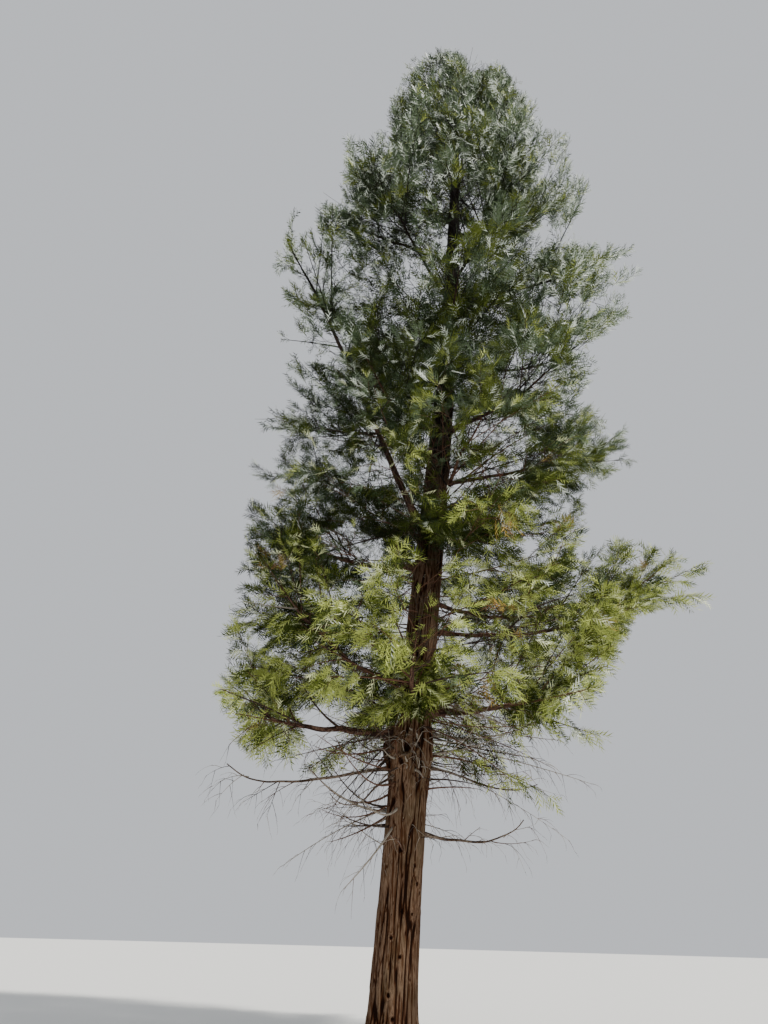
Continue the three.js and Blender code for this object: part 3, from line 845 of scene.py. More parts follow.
@dataclass(frozen=True)
class Branching:
    """How side shoots stand on a shoot.

    Attributes:
        spacing: metres between them.
        first: the share of the parent at which they start.
        length: of the longest, in metres, as a low and a high value.
        shortening: the share lost towards the parent's tip.
        open_foot, open_tip: the angle from the parent, in degrees, at its foot and its tip.
        tilt: how far they leave the parent's plate, in degrees.
        roll: how far their own plate turns from the parent's, in degrees.
        lift: how much they turn up, low and high in the crown.
        bend: how much they curl up, low and high in the crown.
        radius: at the foot.
        salt: seeds their chances.
        high_share: the share of the length that they have high in the crown.
        steady: 1 spaces them evenly, and less leaves the rest of each space to chance.
        open_spread, bend_spread: how far chance changes the opening and the bend, as shares of them.
        sway: how far chance bends them sideways, for each metre of length.
        radius_share: of the parent's foot, which none is thicker than.
    """

    spacing: float
    first: float
    length: Pair
    shortening: float
    open_foot: float
    open_tip: float
    tilt: float
    roll: float
    lift: Pair
    bend: Pair
    radius: float
    salt: int
    high_share: float = 1.0
    steady: float = 0.4
    open_spread: float = 0.25
    bend_spread: float = 0.5
    sway: float = 0.1
    radius_share: float = 0.8

    def grow(self, parents: Shoots) -> Shoots:
        """Stands side shoots on the parents, alternately left and right, in whole arrays."""
        counts = np.maximum(1, np.round(parents.length * (1 - self.first) / self.spacing)).astype(int)
        owner = np.repeat(np.arange(len(counts)), counts)
        number = np.arange(len(owner))
        order = number - np.repeat(np.cumsum(counts) - counts, counts)
        place = order + self.steady + (1 - self.steady) * chance(owner, order, self.salt)
        share = np.where(order == counts[owner] - 1, 1, place / counts[owner])
        t = self.first + (1 - self.first) * share
        parent = parents.pick(owner)
        root, along = parent.at(t), parent.along(t)
        opened, tilted, rolled, curled, swayed = (wobble(number, self.salt, salt) for salt in range(1, 6))
        side = unit(np.cross(parent.face, along))
        face = np.cross(along, side)
        opening = between(self.open_foot, self.open_tip, share) * (1 + self.open_spread * opened)
        opening = np.radians(opening)
        hand = left_and_right(order)[:, None]
        way = leaning(along, side * hand, face, opening, np.radians(self.tilt) * tilted)
        height = ascent(root[:, 2])
        way = unit(way + UP * between(*self.lift, height)[:, None])
        turn = (np.radians(self.roll) * rolled)[:, None]
        across = unit(np.cross(way, face))
        plate = np.cross(across, way) * np.cos(turn) + across * np.sin(turn)
        curl = between(*self.bend, height) * (1 + self.bend_spread * curled)
        bend = UP * curl[:, None] + self.sway * across * swayed[:, None]
        length = between(*self.length, chance(number, self.salt, 6)) * (1 - self.shortening * share)
        length = length * between(1, self.high_share, height)
        radius = np.minimum(self.radius, parent.radius * self.radius_share)
        return Shoots(root, way, bend, length, radius, plate, parent.limb, parent.ragged)


@dataclass(frozen=True)
class SprayShape:
    """A flat feathery spray: a midrib with pointed fingers that stand to its left and right in turn.

    Formula: the midrib is root + length * (way * s + bend * s * s) for s from 0 to 1. Each stretch of it is
    the foot of one finger, whose tip stands off by width * profile(s), leans forward, and drops from the
    plate by a share of its width. The last finger goes straight on.
    """

    fingers: tuple[int, int] = (8, 6)
    few_above: float = 12.5
    width: Pair = (0.30, 0.26)
    narrowing_span: float = 13
    profile: Triple = (0.16, 0.80, 0.6)
    width_spread: float = 0.35
    last_width: float = 0.15
    forward: float = 0.36
    forward_spread: float = 0.2
    fold: float = 0.3

    def surface(self, sprays: Shoots, tints: Whole) -> Surface:
        """All the sprays as one surface: those high up have fewer fingers.

        Args:
            sprays: root, way, bend, length and face of each.
            tints: the number of each one's colour.

        Returns:
            The surface.
        """
        high = sprays.root[:, 2] > self.few_above
        parts = [(which, n) for which, n in zip((~high, high), self.fingers) if which.any()]
        return joined([self.fingered(sprays.pick(which), tints[which], n) for which, n in parts])

    def fingered(self, sprays: Shoots, tints: Whole, n: int) -> Surface:
        """Sprays with one number of fingers, as one surface."""
        count = len(sprays.length)
        rib = sprays.at(np.tile(np.linspace(0, 1, n + 1), (count, 1)))
        number, order = sprays.numbers()[:, None], np.arange(n)
        start, span, power = self.profile
        profile = np.sin(np.pi * (start + span * (order + 0.5) / n)) ** power
        wide = between(*self.width, ascent(sprays.root[:, 2], self.narrowing_span)[:, None]) * profile
        last = np.where(order == n - 1, self.last_width, 1)
        wide = wide * (1 + self.width_spread * wobble(number, order, 21)) * last
        side = unit(np.cross(sprays.face, sprays.way))[:, None, :]
        ahead = (self.forward * (1 + self.forward_spread * wobble(number, order, 22)))[..., None]
        reach = ahead * sprays.way[:, None, :] + (left_and_right(order) * wide)[..., None] * side
        reach = reach - self.fold * wide[..., None] * sprays.face[:, None, :]
        tips = (rib[:, :-1] + rib[:, 1:]) / 2 + sprays.length[:, None, None] * reach
        corners = np.concatenate([rib, tips], axis=1)
        odd = order % 2
        faces = np.stack([order + 1 - odd, order + odd, n + 1 + order], axis=1)
        triangles = (faces[None] + np.arange(count)[:, None, None] * (2 * n + 1)).reshape(-1, 3)
        return Surface(corners.reshape(-1, 3), triangles, finish=np.repeat(tints, n))


@dataclass(frozen=True)
class Outline:
    """The crown's edge as the viewer sees it, with its lobes and notches.

    It is read where the line from the viewer's eye meets the upright plane through the trunk.

    Attributes:
        eye: the viewer's eye.
        drop: how far a shoot that loses all its reach would also end below the edge's top, in metres.
        right, left: rows of height and metres from the trunk's middle.
    """

    eye: Triple = (-0.3133, -15.0, 1.6)
    drop: float = 5.0
    right: tuple[Pair, ...] = (
        (3.9, 3.4), (4.75, 3.8), (5.9, 3.9), (6.8, 4.0), (7.4, 4.2), (7.8, 5.2), (8.1, 5.8), (8.8, 5.9),
        (9.05, 5.3), (9.2, 4.3), (9.6, 3.7), (10.5, 3.6), (11.1, 4.0), (11.5, 5.1), (11.9, 4.4), (13.3, 3.8),
        (14.1, 4.1), (14.9, 4.3), (15.1, 3.6), (15.4, 4.1), (16.0, 4.8), (16.7, 5.3), (17.7, 5.4),
        (18.2, 5.0), (18.5, 4.1), (19.3, 3.2), (19.8, 3.8), (20.8, 4.2), (21.3, 3.9), (22.3, 3.3),
        (23.6, 3.4), (23.9, 2.6), (24.9, 2.6), (25.7, 2.4), (26.0, 1.9), (26.6, 1.65), (27.0, 1.5),
        (27.25, 1.1), (27.45, 0.35), (27.8, 0.1), (28.0, -0.45),
    )
    left: tuple[Pair, ...] = (
        (3.9, 2.4), (5.0, 3.5), (5.6, 3.8), (6.6, 3.9), (8.7, 3.9), (11.0, 4.2), (13.0, 4.4), (15.3, 4.7),
        (17.6, 4.8), (19.8, 4.5), (20.0, 4.1), (20.1, 3.2), (20.9, 3.3), (21.7, 3.2), (22.3, 3.4),
        (23.2, 3.4), (23.4, 2.1), (25.8, 2.1), (26.4, 2.4), (26.9, 1.7), (27.5, 1.35), (27.8, 1.15),
        (28.0, 0.6),
    )

    def seen(self, stem: Stem, points: Array) -> tuple[Array, Array]:
        """Where points show on the trunk's upright plane: metres right of the trunk's middle, and height."""
        eye = np.array(self.eye)
        shown = eye + (points - eye) * (eye[1] / (eye[1] - points[..., 1]))[..., None]
        return shown[..., 0] - stem.centre(shown[..., 2])[..., 0], shown[..., 2]

    def holds(self, stem: Stem, points: Array, stretch: Array) -> Flags:
        """Whether points show inside the crown's edge, drawn in by a share, and downwards too."""
        off, z = self.seen(stem, points)
        z = z + self.drop * (1 - stretch)
        right, left = (np.interp(z, *np.array(edge).T, right=0) for edge in (self.right, self.left))
        return (off < right * stretch) & (off > -left * stretch)


class Opening(NamedTuple):
    """A place where the foliage is thin as the viewer sees it, so that the trunk or the sky shows through.

    Attributes:
        low, high: heights on the trunk.
        left, right: metres from the trunk's middle, seen in the upright plane through it.
        kept: the share of the foliage that stays.
        near_only: whether only foliage in front of the trunk is thinned.
    """

    low: float
    high: float
    left: float
    right: float
    kept: float
    near_only: bool = False

    def holds(self, off: Array, z: Array) -> Flags:
        """Whether places on the trunk's upright plane lie in an oval with a ragged rim."""
        waves_per_metre, raggedness = 2.7, 0.45
        across = (2 * off - self.left - self.right) / (self.right - self.left)
        up = (2 * z - self.low - self.high) / (self.high - self.low)
        rim = around_noise(off * waves_per_metre, z * waves_per_metre, ENDLESS, self.low)
        return across**4 + up**4 < (1 + raggedness * rim) ** 4


OPENINGS = tuple(
    Opening(*row)
    for row in (
        (7.0, 9.2, -0.45, 0.45, 0.06, True), (10.4, 13.3, -0.34, 0.36, 0.15, True),
        (16.5, 18.0, -0.28, 0.30, 0.25, True), (18.3, 21.4, -0.30, 0.34, 0.06, True),
        (15.9, 16.7, 2.3, 4.0, 0.12), (14.75, 15.35, 3.0, 4.6, 0.12), (13.1, 13.6, 3.4, 4.6, 0.25),
        (13.6, 14.7, 1.4, 2.65, 0.10), (12.0, 12.9, 0.7, 1.9, 0.10), (11.1, 12.1, 1.5, 2.1, 0.20),
        (10.3, 11.2, 0.3, 0.75, 0.35), (18.6, 19.5, 2.4, 4.0, 0.15), (21.5, 22.4, 2.5, 2.95, 0.20),
        (19.7, 20.7, 0.34, 0.85, 0.10), (15.8, 16.4, 0.85, 1.4, 0.20), (18.7, 19.7, -2.5, -1.65, 0.25),
        (16.3, 18.3, -2.35, -1.75, 0.45), (16.8, 18.4, -1.55, -0.65, 0.65), (16.7, 17.8, -4.3, -2.7, 0.12),
        (14.2, 15.3, -3.9, -2.5, 0.12), (11.6, 13.1, -3.1, -2.4, 0.35), (10.7, 11.4, -2.1, -1.0, 0.08),
        (11.5, 12.3, -1.95, -1.4, 0.30), (26.6, 28.6, 0.35, 1.0, 0.05), (8.7, 9.6, -2.4, -1.2, 0.15),
        (4.0, 5.7, 0.35, 3.5, 0.45), (5.9, 8.1, 0.7, 3.4, 0.60),
    )
)


class Tuft(NamedTuple):
    """A leafy tuft straight from the trunk, or one long thin leafy limb.

    Attributes:
        height: of its middle on the trunk.
        spread: how far up and down the trunk its shoots stand.
        heading, fan: the middle heading and the spread to each side of it, in degrees.
        count: how many shoots.
        length: shortest and longest.
        droop: fall for each metre out.
    """

    height: float
    spread: float
    heading: float
    fan: float
    count: int
    length: Pair
    droop: float


TUFTS = (
    Tuft(5.75, 0.12, 268, 50, 9, (0.35, 0.8), 0.15),
    Tuft(4.75, 0.10, 352, 8, 2, (1.5, 2.4), 0.05),
    Tuft(5.75, 0.25, 258, 60, 9, (0.5, 1.2), -0.05),
    Tuft(6.35, 0.35, 285, 60, 10, (0.5, 1.4), 0.0),
    Tuft(8.9, 0.40, 262, 60, 11, (0.5, 1.5), -0.05),
    Tuft(9.6, 0.35, 292, 60, 10, (0.5, 1.4), -0.10),
    Tuft(13.9, 0.9, 275, 60, 10, (0.5, 1.4), -0.2),
    Tuft(18.9, 0.15, 285, 60, 4, (0.3, 0.6), -0.2),
    # The long thin leafy limbs that carry the lobes on the right.
    Tuft(15.6, 0.0, 358, 0, 1, (4.75, 4.75), -0.57),
    Tuft(15.4, 0.0, 4, 0, 1, (4.6, 4.6), 0.17),
    Tuft(16.6, 0.0, 350, 0, 1, (4.35, 4.35), -0.15),
    Tuft(7.6, 0.0, 352, 0, 1, (5.0, 5.0), -0.11),
    Tuft(7.9, 0.0, 6, 0, 1, (4.9, 4.9), -0.20),
)


class Waves(NamedTuple):
    """A noise over the trunk's bark.

    Attributes:
        count: how many waves stand round the trunk.
        per_metre: how many stand on each metre up it.
        seed: picks the noise.
        sideways: by how many waves the bark's wander moves it round.
        start: where it starts at the ground, in waves.
    """

    count: int
    per_metre: float
    seed: int
    sideways: float = 0
    start: float = 0

    def over(self, turn: Array, z: Array, wander: Number = 0) -> Array:
        """The noise from -1 to 1, at a share of the way round and a height."""
        across, up = turn * self.count + wander * self.sideways, z * self.per_metre + self.start
        return around_noise(across, up, self.count, self.seed)


@dataclass
class Trunk:
    """The trunk's bark as a mesh of its own: long plates with furrows between, knots and a rough burl.

    Attributes:
        columns, rows: corners round the trunk and up it.
        crowding: above 1 the rows stand closer towards the foot.
        wander: a slow noise that bends the furrows, and wander_share how much of it does.
        noises: of the wide furrows, the fine ones, the ledges and the fibres.
        furrow_widths: of the wide and the fine furrows, against their noises.
        furrow_depth: from a plate to the bottom of a furrow.
        burl: its height, spread, heading and swell.
        knots: height, heading and size of each.
    """

    stem: Stem = Stem()
    columns: int = 156
    rows: int = 600
    crowding: float = 1.6
    wander: Waves = Waves(9, 0.8, 31)
    wander_share: float = 0.25
    noises: tuple[Waves, ...] = (
        Waves(33, 0.66, 32, 3.2, 7), Waves(57, 1.3, 33, 4), Waves(22, 2.6, 34, 2), Waves(78, 4.5, 35)
    )
    furrow_widths: Pair = (0.29, 0.22)
    furrow_depth: float = 0.036
    burl: tuple[float, float, float, float] = (4.78, 0.27, 205, 0.085)
    knots: tuple[Triple, ...] = (
        (3.05, 262, 0.045), (2.80, 306, 0.032), (2.52, 317, 0.030), (2.38, 329, 0.028), (2.08, 277, 0.036),
        (2.05, 305, 0.030), (1.69, 253, 0.034), (1.41, 279, 0.030), (0.87, 257, 0.038), (0.55, 270, 0.034),
        (4.98, 222, 0.060), (4.80, 256, 0.095), (4.55, 243, 0.060), (4.50, 208, 0.075), (4.86, 288, 0.050),
        (4.62, 275, 0.045), (3.60, 40, 0.040), (2.20, 120, 0.035), (1.30, 70, 0.035), (2.90, 170, 0.040),
    )

    def bark(self, angle: Array, z: Array) -> Array:
        """The bark's height from 0 to 1.

        Formula: the furrows are where two long drawn-out noises pass through zero, so that they wander, fork
        and join; the plates between them are flat, with ledges where they end and fine ridges along them.
        """
        turn = angle / (2 * np.pi)
        wander = self.wander_share * self.wander.over(turn, z)
        wide, fine, ledge, fibres = (waves.over(turn, z, wander) for waves in self.noises)
        wide_width, fine_width = self.furrow_widths
        valley = np.minimum(np.abs(wide + 0.45 * fine) / wide_width, np.abs(fine + 0.2) / fine_width + 0.34)
        plate = smooth_step(0.0, 1.0, valley)
        ledge = 0.5 + 0.5 * ledge
        return np.clip(plate * (0.74 + 0.26 * smooth_step(0.3, 0.55, ledge)) + 0.08 * fibres * plate, 0, 1)

    def shaped(self, z: Array, turn: Array) -> tuple[Array, Array]:
        """The radius and the relief, by height and angle.

        Formula: the stem's radius, plus the bark's height, lumps on the old ring, a burl, and for each knot a
        rim round a hole, both by its distance over the bark.
        """
        relief = self.bark(turn, z)
        radius = self.stem.radius(z, turn)
        thin = np.minimum(1, radius / self.stem.butt_radius)
        ring = np.exp(-(((z - self.stem.whorl_height) / (1.3 * self.stem.whorl_spread)) ** 2))
        lumps = around_noise(turn * 11 / (2 * np.pi), z * 3.2, 11, 36)
        knobs = around_noise(turn * 19 / (2 * np.pi), z * 6.5, 19, 37)
        radius = radius + self.furrow_depth * thin * (relief - 0.7) + ring * (0.066 * lumps + 0.040 * knobs)
        burl_height, burl_spread, burl_heading, burl_swell = self.burl
        facing = np.maximum(0, np.cos(turn - math.radians(burl_heading))) ** self.stem.knot_sharpness
        burl = facing * np.exp(-(((z - burl_height) / burl_spread) ** 2))
        radius = radius + burl_swell * burl * (1 + 0.7 * knobs)
        relief = relief * (1 - 0.75 * burl * smooth_step(-0.2, 0.5, knobs + 0.4 * lumps))
        for knot_height, heading, size in self.knots:
            off = (np.mod(turn - math.radians(heading) + np.pi, 2 * np.pi) - np.pi) * radius
            far = np.hypot(off, 0.8 * (z - knot_height)) / size
            rim, hole = np.exp(-((far - 1.25) ** 2) / 0.16), np.exp(-((far / 0.62) ** 2))
            radius = radius + size * (0.5 * rim - 0.9 * hole)
            relief = relief * (1 - np.exp(-((far / 0.8) ** 4)))
        return radius, relief

    def surface(self) -> Surface:
        """The whole trunk, closed at both ends: corner = middle + radius * the way out on its angle."""
        z = self.stem.height * np.linspace(0, 1, self.rows) ** self.crowding
        angle = 2 * np.pi * np.arange(self.columns) / self.columns
        high, turn = np.meshgrid(z, angle, indexing="ij")
        radius, relief = self.shaped(high, turn)
        corners = self.stem.centre(high) + radius[..., None] * outward(turn)
        number = np.arange(high.size).reshape(high.shape)
        beside = np.roll(number, -1, axis=1)
        foot, top = (np.full(self.columns, high.size + end) for end in (0, 1))
        caps = [(foot, beside[0], number[0]), (top, number[-1], beside[-1])]
        poles = self.stem.centre(np.array([0, self.stem.height]))
        relief = np.concatenate([relief.reshape(-1), [0.5, 0.5]])
        faces = triangles_of(walls(number) + caps)
        return Surface(np.concatenate([corners.reshape(-1, 3), poles]), faces, relief)

    def build(self) -> None:
        """Makes and dresses the piece."""
        piece_from("trunk_bark", self.surface(), [FurrowedBark().material()], ["trunk"])


@dataclass
class Wood:
    """The boughs, the leafy limbs' stems and the old bare limbs, as thin-barked bars that wander a little."""

    stem: Stem
    limbs: Sequence[Limb]
    stations: int = 56
    sides: int = 14
    wander: float = 0.03
    collar: float = 0.9
    collar_fade: float = 0.10

    def bars(self, limbs: Sequence[Limb | BareLimb], seed: int) -> Surface:
        """The limbs as one surface.

        Formula: each middle line leaves the rule's by a slow noise to each side; the radius has a collar that
        fades from the trunk, lumps, and cracks along it.
        """
        t = np.linspace(0, 1, self.stations) ** 0.9
        middles, radii, reliefs = [], [], []
        angle = np.arange(self.sides) / self.sides
        for number, limb in enumerate(limbs):
            trunk_radius = float(self.stem.radius(limb.seat, 0))
            along = between(0.55 * trunk_radius / limb.reach, 1, t)
            middle, way = limb.points(along), limb.along(along)
            side = sideways(way)
            length = limb.reach * along
            fade = np.minimum(1, 3 * t) * self.wander
            place = np.full_like(length, number * 7.3 + seed)
            for across, pace, salt in ((side, 2.3, 41), (np.cross(way, side), 2.9, 42)):
                middle = middle + across * (fade * around_noise(place, length * pace, ENDLESS, salt))[:, None]
            turn, out = np.meshgrid(angle, length)
            cracks = around_noise(turn * 9 + number, out * 5, 9, 43 + seed)
            relief = smooth_step(0.05, 0.5, np.abs(cracks))
            lumps = around_noise(turn * 3, out * 6, 3, 44 + seed + number)
            collar = self.collar * np.exp(-(length - trunk_radius) / self.collar_fade).clip(0, 1)
            thick = (limb.radii(along) * (1 + collar))[:, None]
            middles.append(middle)
            radii.append(thick * (0.97 + 0.10 * (relief - 0.5) + 0.09 * lumps))
            reliefs.append(relief)
        return tubes(np.stack(middles), np.stack(radii), self.sides, np.stack(reliefs))

    def build(self) -> None:
        """Makes and dresses the pieces."""
        bark = LimbBark("branch_bark", (0.022, 0.011, 0.008), (0.088, 0.042, 0.027), (0.165, 0.105, 0.078))
        dead = LimbBark("dead_wood", (0.035, 0.022, 0.015), (0.120, 0.080, 0.058), (0.235, 0.195, 0.155))
        boughs = [f"bough_{i + 1:02d}" for i in range(len(BOUGHS))]
        piece_from("boughs", self.bars(self.limbs, 0), [bark.material()], boughs)
        bare = [f"bare_limb_{i + 1}" for i in range(len(BARE_LIMBS))]
        piece_from("bare_limbs", self.bars(BARE_LIMBS, 50), [dead.material()], bare)


class DeadRow(NamedTuple):
    """One group of dead twigs on the trunk: how many, where, and how they run.

    Attributes:
        count: how many.
        seats: lowest and highest seat.
        heading, fan: the middle heading and the spread to each side of it, in degrees.
        tilt: rise for each metre out, lowest and highest.
        length: shortest and longest.
        short: above 1 more of them are short.
        bend: how far they curve up, lowest and highest.
        radius: thinnest and thickest.
        salt: seeds their chances.
    """

    count: int
    seats: Pair
    heading: float
    fan: float
    tilt: Pair
    length: Pair
    short: float
    bend: Pair
    radius: Pair
    salt: int


DEAD_ROWS = (
    DeadRow(46, (4.2, 5.3), 90, 180, (-0.7, 0.3), (0.15, 0.9), 2.0, (-0.8, 0.7), (0.008, 0.020), 61),
    DeadRow(26, (4.35, 5.15), 238, 70, (-0.6, 0.5), (0.14, 0.5), 1.2, (-1.0, 0.9), (0.014, 0.030), 67),
    DeadRow(24, (4.5, 6.0), 0, 42, (-0.5, 0.1), (0.9, 2.7), 1.1, (-0.30, 0.50), (0.009, 0.017), 62),
    DeadRow(20, (3.4, 5.2), 195, 46, (-1.0, 0.0), (0.6, 2.0), 1.1, (-0.20, 0.85), (0.013, 0.029), 64),
    DeadRow(24, (4.8, 7.4), 172, 50, (-0.3, 0.4), (0.8, 2.4), 1.2, (-0.35, 0.45), (0.009, 0.019), 65),
    DeadRow(2, (5.2, 5.4), 200, 8, (3.4, 4.4), (0.7, 0.85), 1.0, (0.0, 0.1), (0.026, 0.032), 68),
    DeadRow(1, (5.1, 5.2), 350, 2, (-0.22, -0.20), (2.3, 2.4), 1.0, (0.36, 0.40), (0.026, 0.028), 75),
    DeadRow(3, (4.8, 5.5), 350, 26, (-0.32, 0.0), (1.9, 3.5), 1.0, (-0.26, 0.16), (0.014, 0.018), 79),
    DeadRow(2, (4.1, 4.3), 348, 6, (0.05, 0.15), (0.9, 1.2), 1.0, (-0.2, 0.1), (0.016, 0.020), 77),
    DeadRow(2, (4.6, 4.8), 350, 5, (-0.05, 0.05), (1.4, 1.8), 1.0, (-0.2, 0.3), (0.022, 0.026), 78),
    DeadRow(50, (3.0, 13.0), 90, 180, (-0.5, 0.4), (0.15, 1.4), 2.0, (-0.5, 0.5), (0.007, 0.015), 66),
)


class Fork(NamedTuple):
    """A dark bare side branch of one bough: where it stands, which way it runs, and its sizes in metres."""

    limb: int
    share: float
    way: Triple
    bend: Triple
    length: float
    radius: float


FORKS = (
    Fork(0, 0.40, (-0.85, -0.10, 0.42), (0.12, 0.0, 0.34), 1.15, 0.030),
    Fork(0, 0.66, (-0.80, -0.30, -0.35), (0.0, 0.0, -0.20), 0.90, 0.018),
    Fork(0, 0.86, (-0.70, -0.20, -0.55), (0.0, 0.0, -0.15), 0.80, 0.014),
    Fork(3, 0.50, (-0.75, -0.30, -0.10), (0.0, 0.0, -0.25), 0.95, 0.016),
    Fork(3, 0.62, (-0.80, 0.10, -0.15), (0.0, 0.0, -0.10), 0.80, 0.013),
    Fork(3, 0.86, (-0.95, 0.10, 0.10), (0.0, 0.0, 0.05), 1.10, 0.018),
    Fork(4, 0.30, (0.80, -0.30, -0.10), (0.1, 0.0, 0.30), 1.30, 0.018),
    Fork(4, 0.36, (0.50, -0.10, 0.70), (0.35, 0.0, -0.25), 1.60, 0.032),
    Fork(9, 0.10, (0.88, -0.25, 0.30), (0.1, 0.0, -0.05), 2.10, 0.028),
    Fork(9, 0.16, (0.72, -0.25, 0.62), (0.1, 0.0, -0.10), 2.30, 0.024),
    Fork(1, 0.22, (0.62, -0.20, 0.55), (0.2, 0.0, 0.30), 1.20, 0.024),
)


def side_branches(limbs: Sequence[Limb]) -> Shoots:
    """The boughs' bare side branches."""
    number, share, way, bend, length, radius = (np.array(column) for column in zip(*FORKS))
    root = np.stack([limbs[i].points(t) for i, t in zip(number, share)])
    way = unit(way)
    return Shoots(root, way, bend, length, radius, unit(np.cross(way, sideways(way))), number, 0 * length)


@dataclass
class DeadTwigs:
    """Thin dead twigs on the old ring, the bare limbs and the boughs' bare wood, and stubs on the trunk."""

    stem: Stem
    limbs: Sequence[Limb]
    side: Branching = Branching(
        0.13, 0.22, (0.18, 0.70), 0.6, 58, 35, 60, 80, (0.0, 0.0), (-0.55, 0.60), 0.006, 71
    )
    fine: Branching = Branching(
        0.16, 0.2, (0.08, 0.26), 0.5, 52, 30, 70, 80, (0.0, 0.0), (-0.4, 0.5), 0.0032, 72
    )
    per_metre: Pair = (5.0, 4.0)
    longest: Pair = (0.95, 0.7)
    rows: tuple[DeadRow, ...] = DEAD_ROWS

    def on_limb(self, number: int, limb: Limb | BareLimb) -> Shoots | None:
        """Twigs on a limb: all along a bare one, and between the trunk and the foliage of a bough."""
        live = int(isinstance(limb, Limb))
        start = float(self.stem.radius(limb.seat, 0)) / limb.reach + 0.02
        stop = max(limb.bare, 0.35) if live else 1.0
        count = int(limb.reach * (stop - start) * self.per_metre[live])
        if count < 1:
            return None
        order = np.arange(count)
        t = start + (stop - start) * (order + chance(number, order, 51)) / count
        along = limb.along(t)
        side = sideways(along) * left_and_right(order)[:, None]
        over = unit(np.cross(along, side))
        opening = np.radians(52 + 22 * wobble(number, order, 52))
        way = leaning(along, side, over, opening, 1.1 * wobble(number, order, 53))
        way = unit(way - 0.15 * UP)
        length = between(0.25, self.longest[live], chance(number, order, 54) ** 1.6)
        bend = UP * between(-0.45, 0.25, chance(number, order, 55))[:, None]
        radius = np.minimum(0.010, 0.6 * limb.radii(t))
        return Shoots(limb.points(t), way, bend, length, radius, over, np.full(count, number), 0 * t)

    def on_trunk(self, row: DeadRow) -> Shoots:
        """Twigs straight from the trunk, by one row of sizes."""
        order = np.arange(row.count)

        def pick(span: Pair, salt: int, power: float = 1) -> Array:
            """A chance value in a span for each twig; a higher power makes low values commoner."""
            return between(*span, chance(order, row.salt, salt) ** power)

        heading = np.radians(row.heading + row.fan * wobble(order, row.salt, 2))
        root = self.stem.under_bark(pick(row.seats, 1), heading, 0.9)
        out = outward(heading)
        across = np.cross(UP, out)
        way = out + across * 0.35 * wobble(order, row.salt, 4)[:, None] + UP * pick(row.tilt, 3)[:, None]
        way = unit(way)
        bend = UP * pick(row.bend, 6)[:, None] + across * 0.25 * wobble(order, row.salt, 7)[:, None]
        length, radius = pick(row.length, 5, row.short), pick(row.radius, 8)
        return Shoots(root, way, bend, length, radius, unit(np.cross(way, across)), order, 0 * radius)

    def build(self) -> None:
        """Makes and dresses the piece."""
        on_limbs = [self.on_limb(number, limb) for number, limb in enumerate((*BARE_LIMBS, *self.limbs))]
        groups = [shoots for shoots in on_limbs if shoots is not None]
        groups += [self.on_trunk(row) for row in self.rows]
        main = together([*groups, side_branches(self.limbs)]).cut(in_box, 0.2)
        small = self.side.grow(main).cut(in_box, 0.3)
        fine = self.fine.grow(small).cut(in_box, 0.3)
        surfaces = []
        for number, (group, stations, sides) in enumerate(((main, 9, 5), (small, 5, 3), (fine, 3, 3))):
            dealt = np.digitize(chance(group.numbers(), 63, number), [0.3, 0.65])
            surfaces.append(group.tubes(stations, sides, 0.25, dealt))
        finishes = [tint.material() for tint in (TwigTint.RED, TwigTint.DARK, TwigTint.GREY)]
        piece_from("dead_twigs", joined(surfaces), finishes)


